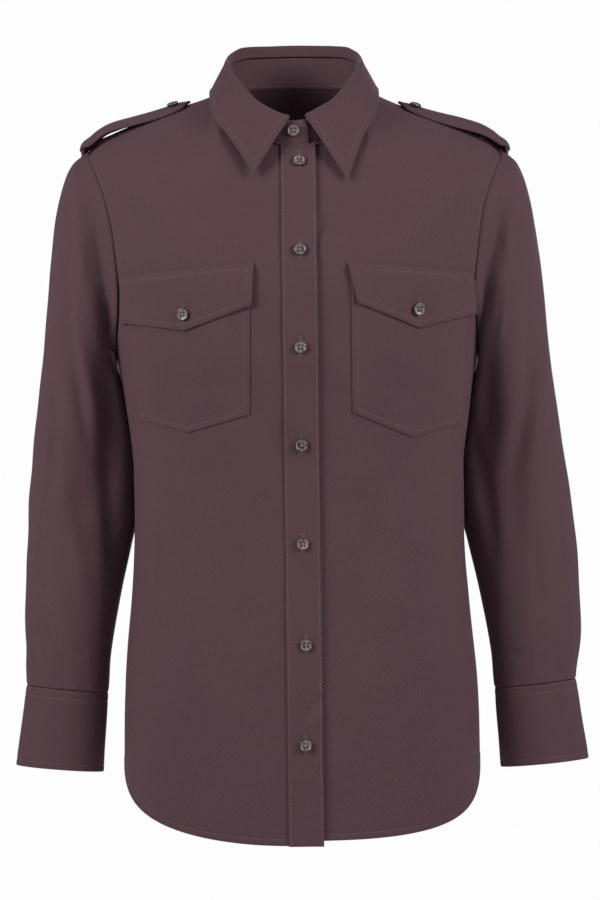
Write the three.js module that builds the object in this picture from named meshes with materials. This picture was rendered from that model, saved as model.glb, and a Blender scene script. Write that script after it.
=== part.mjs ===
import * as THREE from 'three';

// A long-sleeved utility shirt that stands filled out, as if worn by no one. Millimetres, +Z up.
// The front faces -Y and the wearer's left is at +X. The origin is the middle of the neck opening,
// level with the inner ends of the shoulders.

const { clamp, degToRad, lerp, radToDeg, smoothstep } = THREE.MathUtils;

// Cloth and seams
const CLOTH = 1.5;
const DOUBLE_CLOTH = 2.0;
const SEAM_GAP = 0.3;
const LAID_GAP = 0.8;
const SHIRT_COLOUR = 0x54403f;
const BUTTON_COLOUR = 0x6e5a52;

// Body: half width and depths of the worn form at each height; the section is a rounded oblong
const SQUARENESS = 2.3;
const BODY = [
  { z: -735, side: 170, front: 108, back: 100 },
  { z: -640, side: 170.5, front: 108, back: 100 },
  { z: -565, side: 168.5, front: 107, back: 97 },
  { z: -488, side: 162, front: 105, back: 91 },
  { z: -420, side: 158.2, front: 104, back: 86 },
  { z: -363, side: 158, front: 106, back: 86 },
  { z: -295, side: 166, front: 112, back: 92 },
  { z: -250, side: 173, front: 117, back: 98 },
  { z: -200, side: 182, front: 117, back: 103 },
  { z: -160, side: 193, front: 111, back: 105 },
  { z: -120, side: 203, front: 99, back: 103 },
  { z: -80, side: 214, front: 84, back: 98 },
];

// Hem, underarm, chest line and armhole
const HEM_SIDE_Z = -640;
const HEMS = {
  front_right: { centreZ: -714, curve: 2.1 },
  front_left: { centreZ: -709.5, curve: 3 },
  back: { centreZ: -714, curve: 2.4 },
};
const UNDERARM = { sideZ: -250, centreZ: -276 };
const CHEST_Z = -120;
const ARMHOLE_INSET = 33;

// Shoulder seam and neckline; neckline angles run from the centre front round to the centre back
const SHOULDER = [
  { x: 67.5, z: 2 },
  { x: 85, z: -5.5 },
  { x: 110, z: -13.5 },
  { x: 138.6, z: -23.5 },
  { x: 175.4, z: -38.6 },
  { x: 189, z: -45 },
  { x: 198, z: -54.5 },
];
const SHOULDER_TIP_X = 198;
const SHOULDER_STEEPNESS = 18;
const LEFT_SHOULDER_DROP = 3.5;
const NECK = { halfWidth: 67.5, front: 70, back: 62 };
const NECK_HEIGHTS = [
  { angle: 0, z: -58 },
  { angle: 30, z: -47 },
  { angle: 60, z: -20 },
  { angle: 90, z: 2 },
  { angle: 120, z: 5 },
  { angle: 150, z: 8 },
  { angle: 180, z: 9 },
];
const FRONT_EDGE_X = { front_right: -6.5, front_left: -5.5 };

// How finely the panels are divided: columns from the centre to the side, rows from the hem up
const NECK_COLUMNS = 7;
const SHOULDER_COLUMNS = 8;
const COLUMNS = NECK_COLUMNS + SHOULDER_COLUMNS;
const LOW_ROWS = 14;
const MIDDLE_ROWS = 6;
const HIGH_ROWS = 4;
const ROWS = LOW_ROWS + MIDDLE_ROWS + HIGH_ROWS;
const NECK_STEP = 90 / NECK_COLUMNS;
const FRONT_CORNER = -5.1;

// Button placket on the wearer's right front, over both front edges
const PLACKET = { left: -13.5, right: 19.5, bottom: -714.6, lift: 0.8, neckGap: 2.3 };

// Collar: stand, fall and edge, by the neckline's angle
const STAND = { halfWidth: 61, front: 71, back: 66, start: -8, end: 375, lap: 2.1, lapStart: 315, lapEnd: 350 };
const STAND_CLOTH = 1.6;
const STAND_CORNER = 9;
const STAND_HEIGHTS = [
  { angle: 0, height: 25.5, rise: 0.5, roll: 2.6 },
  { angle: 25, height: 26, rise: 1.2, roll: 3.2 },
  { angle: 50, height: 26, rise: 1.5, roll: 4.2 },
  { angle: 75, height: 23.5, rise: 1.2, roll: 4 },
  { angle: 90, height: 23, rise: 1.2, roll: 3.6 },
  { angle: 112, height: 27, rise: 5.5, roll: 3.6 },
  { angle: 130, height: 29.5, rise: 8, roll: 3.6 },
  { angle: 180, height: 30, rise: 8.1, roll: 3.6 },
];
const COLLAR_START = 9.4;
const COLLAR_END = 355.7;
const COLLAR_SEAT = 0.9;
const COLLAR_EDGE = [
  { angle: 9.4, x: 49.3, z: -92.5, lift: 5 },
  { angle: 41.8, x: 65, z: -50, lift: 5 },
  { angle: 65.7, x: 79, z: -24, lift: 9.5 },
];
const COLLAR_BACK_EDGE = [
  { angle: 77.6, x: 82.5, y: -3, z: 3 },
  { angle: 105, x: 78, y: 30, z: 1 },
  { angle: 130.5, x: 60, y: 60, z: 2 },
  { angle: 157.8, x: 30, y: 80, z: 1 },
  { angle: 180, x: 0, y: 86, z: 0 },
];
const COLLAR_LEAN = { tipX: 10.3, tipZ: 6.3 };

// Sleeve: its outer and inner outline as seen from the front, its half depth from front to back, and how far
// it hangs back
const SLEEVE = [
  { t: 0, outerX: 198, outerZ: -54.5, innerX: 173, innerZ: -250, depth: 62, back: 0 },
  { t: 0.038, outerX: 213, outerZ: -68, innerX: 175, innerZ: -262, depth: 62, back: 1 },
  { t: 0.094, outerX: 223, outerZ: -95, innerX: 173.5, innerZ: -272, depth: 62, back: 4 },
  { t: 0.182, outerX: 231.5, outerZ: -140, innerX: 168.5, innerZ: -290, depth: 61, back: 10 },
  { t: 0.297, outerX: 238, outerZ: -200, innerX: 161.8, innerZ: -320, depth: 58, back: 19 },
  { t: 0.408, outerX: 244, outerZ: -258, innerX: 156.5, innerZ: -355, depth: 55, back: 26 },
  { t: 0.529, outerX: 252, outerZ: -320, innerX: 156.3, innerZ: -395, depth: 52, back: 27 },
  { t: 0.667, outerX: 260.5, outerZ: -392, innerX: 162.5, innerZ: -435, depth: 49, back: 22 },
  { t: 0.778, outerX: 265.5, outerZ: -450, innerX: 170, innerZ: -478, depth: 45, back: 14 },
  { t: 0.893, outerX: 267, outerZ: -510, innerX: 178.5, innerZ: -525, depth: 39, back: 5 },
  { t: 1, outerX: 263.2, outerZ: -565.6, innerX: 185.2, innerZ: -573.5, depth: 31.5, back: 0 },
];
const OUTLINE = ['outerX', 'outerZ', 'innerX', 'innerZ', 'depth', 'back'];
// The wearer's right sleeve is slimmer and the left one stands further out towards the wrist
const SLEEVE_EASE = { right: { outer: -2.2, inner: 2 }, left: { outer: 2.6, inner: 2 } };
const SLEEVE_POINTS = 20;
const SLEEVE_RINGS = 22;
const SLEEVE_HEAD = 0.3;
const SLEEVE_CROWDING = 1.2;

// The largest folds of the sleeves, by place along the sleeve and angle round it (0 outer, 90 front)
const SLEEVE_FOLDS = [
  { side: 1, t: 0.36, angle: 122, length: 0.2, width: 22, slant: -40, depth: -9 },
  { side: 1, t: 0.62, angle: 92, length: 0.16, width: 20, slant: 60, depth: -5 },
  { side: 1, t: 0.2, angle: 78, length: 0.14, width: 22, slant: 0, depth: 3 },
  { side: 1, t: 0.45, angle: 240, length: 0.2, width: 24, slant: 30, depth: -6 },
  { side: -1, t: 0.36, angle: 124, length: 0.22, width: 22, slant: -40, depth: -10 },
  { side: -1, t: 0.6, angle: 88, length: 0.14, width: 20, slant: 50, depth: -5 },
  { side: -1, t: 0.18, angle: 72, length: 0.14, width: 22, slant: 0, depth: 3 },
  { side: -1, t: 0.48, angle: 236, length: 0.2, width: 24, slant: -30, depth: -6 },
];

// Cuffs: strips that lap over at the back, seen from the front like the sleeve
const CUFF = [
  { v: 0, outerX: 263.6, outerZ: -566.1, innerX: 185.4, innerZ: -574, depth: 30, back: 0 },
  { v: 1, outerX: 274.8, outerZ: -642.5, innerX: 190.5, innerZ: -650, depth: 28, back: 0 },
];
const CUFF_LAP = { start: 236, turn: 388, rampStart: 540, rampEnd: 590, lift: 2.5 };
const CUFF_COLUMNS = 26;
const CUFF_ROWS = 2;
const CUFF_BUTTON = { angle: 250, v: 0.5, lift: 0.7 };
const SLEEVE_PLACKET = { firstRing: 18.2, lastRing: 21.7, firstColumn: 13.3, lastColumn: 14.5, lift: 0.7 };

// Patch pockets and their flaps, corners as seen from the front
const POCKETS = {
  pocket_right: {
    innerTop: [-43, -176], outerTop: [-163, -184], outerBottom: [-151, -313], point: [-103, -326.5],
    innerBottom: [-45, -310.5],
  },
  pocket_left: {
    innerTop: [51, -176], outerTop: [165, -184], outerBottom: [153.5, -321], point: [107, -333.5],
    innerBottom: [51, -309.5],
  },
};
const FLAPS = {
  flap_right: {
    innerTop: [-39.5, -169], outerTop: [-164, -178], outerBottom: [-164.5, -221.5], point: [-104, -231],
    innerBottom: [-41.5, -208.5],
  },
  flap_left: {
    innerTop: [47.5, -169], outerTop: [166, -178], outerBottom: [167.5, -216.5], point: [113, -231],
    innerBottom: [56, -207],
  },
};
const PATCH_ACROSS = [0, 0.17, 0.34, 0.5, 0.62, 0.73, 0.83, 0.92, 1];
const POCKET_ROWS = 8;
const FLAP_DROPS = [0, 0.12, 0.4, 0.7, 1];
const FLAP_SEAM_SHARE = 0.12;

// Shoulder straps, from the pointed end by the collar to the sleeve head, above the shoulder seam, with how far
// their front and back edges drop
const STRAP = [
  { x: 99.6, z: -7, half: 3, front: 1, back: 1 },
  { x: 108, z: -8.6, half: 15, front: 7, back: 4 },
  { x: 118, z: -11.6, half: 16.5, front: 9, back: 5.5 },
  { x: 138.5, z: -17.5, half: 18, front: 11.3, back: 7 },
  { x: 160.7, z: -23.3, half: 19.5, front: 12, back: 8 },
  { x: 178, z: -28.8, half: 20.5, front: 11.5, back: 9 },
  { x: 189, z: -34.8, half: 21, front: 10.8, back: 9.5 },
  { x: 197, z: -41.3, half: 21, front: 10.5, back: 9.5 },
  { x: 203.5, z: -46.3, half: 21, front: 8.5, back: 9.5 },
  { x: 205.8, z: -51, half: 21, front: 7, back: 9.5 },
  { x: 203.2, z: -54.3, half: 21, front: 6.5, back: 9.5 },
];
// The edges of the wearer's right strap lift towards the sleeve, so that light shows under it
const STRAP_ARCH = { from: 100, to: 185, fade: 186, end: 198, lift: 4 };
const STRAP_ACROSS = [-1, -0.5, 0, 0.5, 1];
const STRAP_BUTTON = { x: 116, across: -0.35, slope: 0.29, tilt: 0.31 };

// Buttons: four-holed discs
const BUTTON = { diameter: 11.6, thickness: 2.2, hole: 1, holeOffset: 2.2, gap: 0.35, sides: 12 };
const COLLAR_BUTTON = { angle: 359, v: 0.55, lift: 0.3 };
const FRONT_BUTTONS = [
  { x: 4, z: -73.5 },
  { x: 3.8, z: -157.5 },
  { x: 3.2, z: -248 },
  { x: 3, z: -339.5 },
  { x: 3, z: -432 },
  { x: 5, z: -526.5 },
  { x: 3.5, z: -620 },
];
const FLAP_BUTTONS = { flap_right: [-104.5, -215.7], flap_left: [112.2, -213.4] };

const count = (length) => Array.from({ length }, (_, i) => i);
const mirrored = (point, side) => new THREE.Vector3(side * point.x, point.y, point.z);

// A smooth curve through a table's rows that never overshoots; flat ends suit a curve that is mirrored there
function through(rows, from, to, flatEnds = false) {
  const xs = rows.map((row) => row[from]);
  const ys = rows.map((row) => row[to]);
  const last = xs.length - 1;
  const secants = xs.slice(0, last).map((x, i) => (ys[i + 1] - ys[i]) / (xs[i + 1] - x));
  const slopes = xs.map((_, i) => {
    if (i === 0) return flatEnds ? 0 : secants[0];
    if (i === last) return flatEnds ? 0 : secants[last - 1];
    const product = secants[i - 1] * secants[i];
    return product > 0 ? (2 * product) / (secants[i - 1] + secants[i]) : 0;
  });
  return (x) => {
    let i = 0;
    while (i < last - 1 && x > xs[i + 1]) i += 1;
    const span = xs[i + 1] - xs[i];
    const t = clamp((x - xs[i]) / span, 0, 1);
    const rise = t * t * (3 - 2 * t);
    const lead = t * (1 - t) * (1 - t) * slopes[i] * span;
    const trail = t * t * (1 - t) * slopes[i + 1] * span;
    return lerp(ys[i], ys[i + 1], rise) + lead - trail;
  };
}

const bodySide = through(BODY, 'z', 'side');
const bodyFront = through(BODY, 'z', 'front');
const bodyBack = through(BODY, 'z', 'back');
const shoulderHeight = through(SHOULDER, 'x', 'z');
const neckHeight = through(NECK_HEIGHTS, 'angle', 'z', true);
const standHeight = through(STAND_HEIGHTS, 'angle', 'height', true);
const collarRise = through(STAND_HEIGHTS, 'angle', 'rise', true);
const collarRoll = through(STAND_HEIGHTS, 'angle', 'roll', true);
const sleeveOutline = OUTLINE.map((key) => through(SLEEVE, 't', key));

const [strapMiddle, strapHalf, strapFront, strapBack] = ['z', 'half', 'front', 'back'].map((key) => (
  through(STRAP, 'x', key)
));

function shoulderDrop(x, side) {
  return side > 0 ? LEFT_SHOULDER_DROP * smoothstep(x, NECK.halfWidth, 110) : 0;
}

function shoulderPoint(x, side) {
  return new THREE.Vector3(x, 0, shoulderHeight(x) - shoulderDrop(x, side));
}

// A point of the worn form's section: 0 degrees is the front, 90 the side, 180 the back
function torso(angle, z) {
  const sine = Math.sin(degToRad(angle));
  const cosine = Math.cos(degToRad(angle));
  const reach = (Math.abs(sine) ** SQUARENESS + Math.abs(cosine) ** SQUARENESS) ** (-1 / SQUARENESS);
  const depth = cosine > 0 ? bodyFront(z) : bodyBack(z);
  return new THREE.Vector3(reach * sine * bodySide(z), -reach * cosine * depth, z);
}

// An angle round the neck, folded to the half from 0 at the front to 180 at the back
function foldedAngle(angle) {
  const turned = ((angle % 360) + 360) % 360;
  return turned > 180 ? 360 - turned : turned;
}

function ovalPoint(angle, oval, z) {
  const cosine = Math.cos(degToRad(angle));
  const y = -cosine * (cosine > 0 ? oval.front : oval.back);
  return new THREE.Vector3(oval.halfWidth * Math.sin(degToRad(angle)), y, z);
}

// The neckline has a corner at each panel column, so that the panels and the stand share its straight steps
function neckPoint(angle) {
  const turned = angle > 180 ? angle - 360 : angle;
  const step = Math.floor(turned / NECK_STEP);
  const firstStep = step === 0 || turned < 0;
  const from = firstStep && turned >= FRONT_CORNER ? FRONT_CORNER : step * NECK_STEP;
  const to = turned < FRONT_CORNER ? FRONT_CORNER : (firstStep ? 1 : step + 1) * NECK_STEP;
  const corner = (at) => ovalPoint(at, NECK, neckHeight(foldedAngle(at)));
  return corner(from).lerp(corner(to), (turned - from) / (to - from));
}

// The top of a panel's column: on the neckline, or on the shoulder seam, and how steeply the cloth gets there
function panelTop(column, isFront, centreX, side) {
  if (column > NECK_COLUMNS) {
    const x = lerp(NECK.halfWidth, SHOULDER_TIP_X, (column - NECK_COLUMNS) / SHOULDER_COLUMNS);
    return { at: shoulderPoint(x, side), steepness: isFront ? SHOULDER_STEEPNESS : 0 };
  }
  const centreAngle = radToDeg(Math.asin(centreX / NECK.halfWidth));
  const angle = column === 0 ? centreAngle : column * NECK_STEP;
  const cosine = Math.cos(degToRad(angle));
  const steepness = isFront ? Math.max(60 * cosine, SHOULDER_STEEPNESS) : 50 * cosine;
  return { at: mirrored(neckPoint(side * (isFront ? angle : 180 - angle)), side), steepness };
}

// A panel's point by its row up from the hem and column from the centre, before it is mirrored to its side
function panelPoint(row, column, isFront, centreX, hemline, side) {
  const across = column / COLUMNS;
  const onForm = (edgeAngle, z) => {
    const angle = lerp(radToDeg(Math.atan(centreX / bodySide(z))), edgeAngle, across);
    return torso(isFront ? angle : 180 - angle, z);
  };
  if (row <= LOW_ROWS) {
    const hem = lerp(hemline.centreZ, HEM_SIDE_Z, across ** hemline.curve);
    const top = lerp(UNDERARM.centreZ, UNDERARM.sideZ, across);
    return onForm(90, lerp(hem, top, row / LOW_ROWS));
  }
  const middle = clamp((row - LOW_ROWS) / MIDDLE_ROWS, 0, 1);
  const turn = (middle * Math.PI) / 2;
  const edgeZ = CHEST_Z + (UNDERARM.sideZ - CHEST_Z) * Math.cos(turn);
  const edgeAngle = 90 - ARMHOLE_INSET * Math.sin(turn);
  const level = (z) => onForm(edgeAngle, z);
  if (middle < 1) return level(lerp(lerp(UNDERARM.centreZ, CHEST_Z, middle), edgeZ, across));
  const start = level(CHEST_Z);
  const top = panelTop(column, isFront, centreX, side);
  const chord = top.at.distanceTo(start) * 1.1;
  const lead = level(CHEST_Z + 1).sub(start).setLength(chord);
  const steepness = degToRad(top.steepness);
  const backwards = isFront ? 1 : -1;
  const trail = new THREE.Vector3(0, backwards * Math.cos(steepness), Math.sin(steepness)).multiplyScalar(chord);
  return hermite(start, lead, top.at, trail, (row - LOW_ROWS - MIDDLE_ROWS) / HIGH_ROWS);
}

function hermite(start, lead, end, trail, t) {
  const rise = t * t * (3 - 2 * t);
  return start.clone().lerp(end, rise)
    .addScaledVector(lead, t * (1 - t) * (1 - t))
    .addScaledVector(trail, -t * t * (1 - t));
}

// A sheet of cloth: a grid of points on its outer face, each with the direction that faces out
class Sheet {
  constructor(points, { ring = false, thickness = CLOTH, inside = null, outs = null } = {}) {
    this.ring = ring;
    this.thickness = thickness;
    this.grid = points.map((row, r) => row.map((at, c) => (
      { at, out: outs ? outs[r][c] : new THREE.Vector3(), shift: new THREE.Vector3() }
    )));
    if (!outs) this.faceOut(inside);
  }

  get rows() {
    return this.grid.length;
  }

  get columns() {
    return this.grid[0].length;
  }

  // The corner numbers of each quad, counted row by row
  quads() {
    const list = [];
    const width = this.ring ? this.columns : this.columns - 1;
    for (let r = 0; r < this.rows - 1; r += 1) {
      for (let c = 0; c < width; c += 1) {
        const next = (c + 1) % this.columns;
        const below = r * this.columns;
        const above = below + this.columns;
        list.push([below + c, below + next, above + next, above + c]);
      }
    }
    return list;
  }

  faceOut(inside) {
    const vertices = this.grid.flat();
    const centre = inside ?? vertices.reduce((sum, v) => sum.add(v.at), new THREE.Vector3())
      .divideScalar(vertices.length);
    this.quads().forEach((quad) => {
      const [a, b, c, d] = quad.map((i) => vertices[i]);
      const facing = c.at.clone().sub(a.at).cross(d.at.clone().sub(b.at));
      [a, b, c, d].forEach((vertex) => vertex.out.add(facing));
    });
    const outward = vertices.reduce((sum, v) => sum + v.out.dot(v.at.clone().sub(centre)), 0);
    vertices.forEach((vertex) => vertex.out.normalize().multiplyScalar(Math.sign(outward)));
  }

  // A point on the facets, between rows and columns, with its direction out
  sample(row, column) {
    const r = Math.min(Math.floor(row), this.rows - 2);
    const c = Math.floor(column);
    const corner = (dr, dc) => this.grid[r + dr][(c + dc) % this.columns];
    const mix = (key) => corner(0, 0)[key].clone().lerp(corner(0, 1)[key], column - c)
      .lerp(corner(1, 0)[key].clone().lerp(corner(1, 1)[key], column - c), row - r);
    return { at: mix('at'), out: mix('out').normalize() };
  }

  geometry() {
    const outer = this.grid.flat().map((v) => v.at.clone().add(v.shift));
    const inner = this.grid.flat().map((v, i) => outer[i].clone().addScaledVector(v.out, -this.thickness));
    const count = outer.length;
    const faces = [];
    this.quads().forEach(([a, b, c, d]) => {
      faces.push([a, b, c], [a, c, d]);
      faces.push([count + a, count + c, count + b], [count + a, count + d, count + c]);
    });
    const rim = (a, b) => faces.push([b, a, count + a], [b, count + a, count + b]);
    const top = (this.rows - 1) * this.columns;
    const width = this.ring ? this.columns : this.columns - 1;
    for (let c = 0; c < width; c += 1) {
      const next = (c + 1) % this.columns;
      rim(c, next);
      rim(top + next, top + c);
    }
    for (let r = 0; !this.ring && r < this.rows - 1; r += 1) {
      const below = r * this.columns;
      const above = below + this.columns;
      rim(above, below);
      rim(below + this.columns - 1, above + this.columns - 1);
    }
    return closedGeometry([...outer, ...inner], faces);
  }
}

// A closed body from its points and triangles, turned so that its faces point out
function closedGeometry(points, faces) {
  const volume = faces.reduce((sum, [a, b, c]) => (
    sum + points[a].dot(points[b].clone().cross(points[c]))
  ), 0);
  const turned = volume < 0 ? faces.map(([a, b, c]) => [a, c, b]) : faces;
  const geometry = new THREE.BufferGeometry();
  geometry.setAttribute('position', new THREE.Float32BufferAttribute(points.flatMap((p) => p.toArray()), 3));
  geometry.setIndex(turned.flat());
  geometry.computeVertexNormals();
  return geometry;
}

// The direction from an edge into its sheet, square to the edge
function inwards(vertex, neighbour, before, after) {
  const along = after.at.clone().sub(before.at).normalize();
  const into = neighbour.at.clone().sub(vertex.at);
  return into.addScaledVector(along, -into.dot(along)).normalize();
}

// Parts two edges that share their points by the seam gap, and gives both walls the same direction there
function part(firsts, intoFirst, seconds, intoSecond) {
  const apart = intoSecond.clone().sub(intoFirst).setLength(SEAM_GAP / 2);
  const out = firsts[0].out.clone().add(seconds[0].out).normalize();
  firsts.forEach((vertex) => vertex.shift.sub(apart));
  seconds.forEach((vertex) => vertex.shift.add(apart));
  [...firsts, ...seconds].forEach((vertex) => vertex.out.copy(out));
}

// Sews two edges, each a list of [vertex, its neighbour inside the sheet]
function sew(first, second) {
  const directions = [first, second].map((edge) => edge.map(([vertex, neighbour], i) => (
    inwards(vertex, neighbour, edge[Math.max(i - 1, 0)][0], edge[Math.min(i + 1, edge.length - 1)][0])
  )));
  first.forEach(([vertex], i) => part([vertex], directions[0][i], [second[i][0]], directions[1][i]));
}

// Sews a sleeve's first ring to the loop of panel vertices round the armhole
function sewSleeve(loop, sleeve, side) {
  const count = loop.length;
  const seams = loop.map((body, k) => {
    const before = loop[(k + count - 1) % count][0];
    const after = loop[(k + 1) % count][0];
    const along = after.at.clone().sub(before.at);
    const intoBody = body[0].out.clone().cross(along).multiplyScalar(-side).normalize();
    return { body, intoBody, intoSleeve: inwards(sleeve.grid[0][k], sleeve.grid[1][k], before, after) };
  });
  seams.forEach(({ body, intoBody, intoSleeve }, k) => part(body, intoBody, [sleeve.grid[0][k]], intoSleeve));
}

const BODY_MIDDLE = new THREE.Vector3(0, 0, -330);

// Front and back panels
function frontPanel(name, side) {
  const points = count(ROWS + 1).map((row) => count(COLUMNS + 1).map((column) => mirrored(
    panelPoint(row, column, true, side * FRONT_EDGE_X[name], HEMS[name], side),
    side,
  )));
  return new Sheet(points, { inside: BODY_MIDDLE });
}

function backPanel() {
  const points = count(ROWS + 1).map((row) => count(2 * COLUMNS + 1).map((column) => {
    const signed = column - COLUMNS;
    const side = Math.sign(signed) || 1;
    return mirrored(panelPoint(row, Math.abs(signed), false, 0, HEMS.back, side), side);
  }));
  return new Sheet(points, { inside: BODY_MIDDLE });
}

const sideEdge = (sheet, column, neighbour) => (
  count(LOW_ROWS + 1).map((row) => [sheet.grid[row][column], sheet.grid[row][neighbour]])
);

function sewPanels(front, back, side) {
  const backEnd = side > 0 ? 2 * COLUMNS : 0;
  const backColumn = (column) => COLUMNS + side * column;
  sew(sideEdge(front, COLUMNS, COLUMNS - 1), sideEdge(back, backEnd, backEnd - side));
  const shoulders = count(SHOULDER_COLUMNS + 1).map((i) => NECK_COLUMNS + i);
  sew(
    shoulders.map((column) => [front.grid[ROWS][column], front.grid[ROWS - 1][column]]),
    shoulders.map((column) => [back.grid[ROWS][backColumn(column)], back.grid[ROWS - 1][backColumn(column)]]),
  );
}

// The armhole's vertices from the shoulder tip down the front, under the arm and up the back
function armhole(front, back, side) {
  const half = SLEEVE_POINTS / 2;
  return count(SLEEVE_POINTS).map((k) => {
    const frontVertex = front.grid[ROWS - Math.min(k, SLEEVE_POINTS - k)][COLUMNS];
    const backVertex = back.grid[ROWS - Math.min(k, SLEEVE_POINTS - k)][COLUMNS + side * COLUMNS];
    if (k === 0 || k === half) return [frontVertex, backVertex];
    return k < half ? [frontVertex] : [backVertex];
  });
}

// Sleeves
function sleeveOval(t, angle, outline) {
  const [outerX, outerZ, innerX, innerZ, depth, back] = outline;
  const cosine = Math.cos(degToRad(angle));
  const share = (1 + cosine) / 2;
  return new THREE.Vector3(
    lerp(innerX, outerX, share),
    back - depth * Math.sin(degToRad(angle)),
    lerp(innerZ, outerZ, share),
  );
}

function sleeveFold(side, t, angle) {
  return SLEEVE_FOLDS.filter((fold) => fold.side === side).reduce((sum, fold) => {
    const along = (t - fold.t) / fold.length;
    const round = (angle - fold.angle - fold.slant * (t - fold.t)) / fold.width;
    return sum + fold.depth * Math.exp(-along * along - round * round);
  }, 0);
}

function sleeve(loop, side) {
  const ease = side > 0 ? SLEEVE_EASE.left : SLEEVE_EASE.right;
  const outlineAt = (t) => {
    const [outerX, outerZ, innerX, innerZ, depth, back] = sleeveOutline.map((curve) => curve(t));
    const share = smoothstep(t, 0.55, 0.8) * (1 - smoothstep(t, 0.92, 1));
    return [outerX + share * ease.outer, outerZ, innerX + share * ease.inner, innerZ, depth, back];
  };
  const headOutline = outlineAt(0);
  const points = count(SLEEVE_RINGS + 1).map((ring) => {
    const t = (ring / SLEEVE_RINGS) ** SLEEVE_CROWDING;
    const outline = outlineAt(t);
    const centre = sleeveOval(t, 0, outline).lerp(sleeveOval(t, 180, outline), 0.5);
    const hold = Math.max(0, 1 - t / SLEEVE_HEAD) ** 2;
    const free = smoothstep(t, 0, 0.12) * (1 - smoothstep(t, 0.9, 1));
    return count(SLEEVE_POINTS).map((k) => {
      const angle = (k * 360) / SLEEVE_POINTS;
      const oval = sleeveOval(t, angle, outline);
      const fold = sleeveFold(side, t, angle) * free;
      const point = oval.clone().addScaledVector(oval.clone().sub(centre).normalize(), fold);
      const seam = mirrored(loop[k][0].at, side).sub(sleeveOval(0, angle, headOutline));
      return mirrored(point.addScaledVector(seam, hold), side);
    });
  });
  return new Sheet(points, { ring: true });
}

function sleevePlacket(parent) {
  const { firstRing, lastRing, firstColumn, lastColumn, lift } = SLEEVE_PLACKET;
  const samples = count(7).map((i) => count(3).map((j) => (
    parent.sample(lerp(firstRing, lastRing, i / 6), lerp(firstColumn, lastColumn, j / 2))
  )));
  return laid(samples, lift, CLOTH);
}

// A cuff point, by its angle round the wrist and its place down the cuff, on its outer face
function cuffPoint(angle, v, side) {
  const [top, bottom] = CUFF;
  const outline = OUTLINE.map((key) => lerp(top[key], bottom[key], v));
  const centre = sleeveOval(0, 0, outline).lerp(sleeveOval(0, 180, outline), 0.5);
  const point = sleeveOval(0, angle, outline);
  const lift = CUFF_LAP.lift * smoothstep(angle, CUFF_LAP.rampStart, CUFF_LAP.rampEnd);
  return mirrored(point.addScaledVector(point.clone().sub(centre).normalize(), lift), side);
}

function cuff(side) {
  const points = count(CUFF_ROWS + 1).map((row) => count(CUFF_COLUMNS + 1).map((column) => (
    cuffPoint(CUFF_LAP.start + (CUFF_LAP.turn * column) / CUFF_COLUMNS, row / CUFF_ROWS, side)
  )));
  return new Sheet(points, { thickness: DOUBLE_CLOTH });
}

// Pieces that lie on a panel: the same points, moved out
function laid(samples, lift, thickness) {
  const height = (r, c) => (typeof lift === 'function' ? lift(r, c) : lift) + thickness;
  const points = samples.map((row, r) => row.map(({ at, out }, c) => at.clone().addScaledVector(out, height(r, c))));
  return new Sheet(points, { thickness, outs: samples.map((row) => row.map(({ out }) => out.clone())) });
}

// The place on the front panels' facets behind (x, z) of the front view
function onFront(fronts, x, z) {
  let best = { margin: -Infinity };
  fronts.forEach((front) => {
    const vertices = front.grid.flat();
    front.quads().forEach(([a, b, c, d]) => [[a, b, c], [a, c, d]].forEach((triangle) => {
      const [p, q, r] = triangle.map((i) => vertices[i]);
      const area = (q.at.x - p.at.x) * (r.at.z - p.at.z) - (r.at.x - p.at.x) * (q.at.z - p.at.z);
      const shareQ = ((x - p.at.x) * (r.at.z - p.at.z) - (r.at.x - p.at.x) * (z - p.at.z)) / area;
      const shareR = ((q.at.x - p.at.x) * (z - p.at.z) - (x - p.at.x) * (q.at.z - p.at.z)) / area;
      const margin = Math.min(shareQ, shareR, 1 - shareQ - shareR);
      if (margin > best.margin) best = { margin, corners: [p, q, r], shares: [1 - shareQ - shareR, shareQ, shareR] };
    }));
  });
  const mix = (key) => best.corners.reduce((sum, corner, i) => (
    sum.addScaledVector(corner[key], best.shares[i])
  ), new THREE.Vector3());
  return { at: mix('at'), out: mix('out').normalize() };
}

// A five-cornered patch in the front view, as a grid from its top edge to its pointed bottom edge
function patch(corners, drops, fronts) {
  const spot = ([ax, az], [bx, bz], share) => [lerp(ax, bx, share), lerp(az, bz, share)];
  return drops.map((drop) => PATCH_ACROSS.map((across) => {
    const top = spot(corners.innerTop, corners.outerTop, across);
    const bottom = across < 0.5
      ? spot(corners.innerBottom, corners.point, across * 2)
      : spot(corners.point, corners.outerBottom, across * 2 - 1);
    return onFront(fronts, ...spot(top, bottom, drop));
  }));
}

function pocket(name, fronts) {
  const drops = count(POCKET_ROWS + 1).map((row) => row / POCKET_ROWS);
  return laid(patch(POCKETS[name], drops, fronts), LAID_GAP, CLOTH);
}

function flap(name, fronts) {
  const overPocket = LAID_GAP + CLOTH + SEAM_GAP * 2;
  const lift = (row) => lerp(LAID_GAP, overPocket, Math.min(1, FLAP_DROPS[row] / FLAP_SEAM_SHARE));
  return laid(patch(FLAPS[name], FLAP_DROPS, fronts), lift, DOUBLE_CLOTH);
}

function placket(fronts) {
  const [right, left] = fronts;
  const levels = left.grid.map(([edge]) => edge.at.z);
  const samples = levels.map((level) => count(4).map((column) => {
    const x = lerp(PLACKET.left, PLACKET.right, column / 3);
    const neck = neckPoint(radToDeg(Math.asin(x / NECK.halfWidth))).z - PLACKET.neckGap;
    const share = (level - levels[0]) / (levels[ROWS] - levels[0]);
    return onFront(x < FRONT_EDGE_X.front_left ? [right] : [left], x, lerp(PLACKET.bottom, neck, share));
  }));
  return laid(samples, PLACKET.lift, CLOTH);
}

// Collar stand and collar
function standLift(angle) {
  return STAND.lap * smoothstep(angle, STAND.lapStart, STAND.lapEnd);
}

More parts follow.
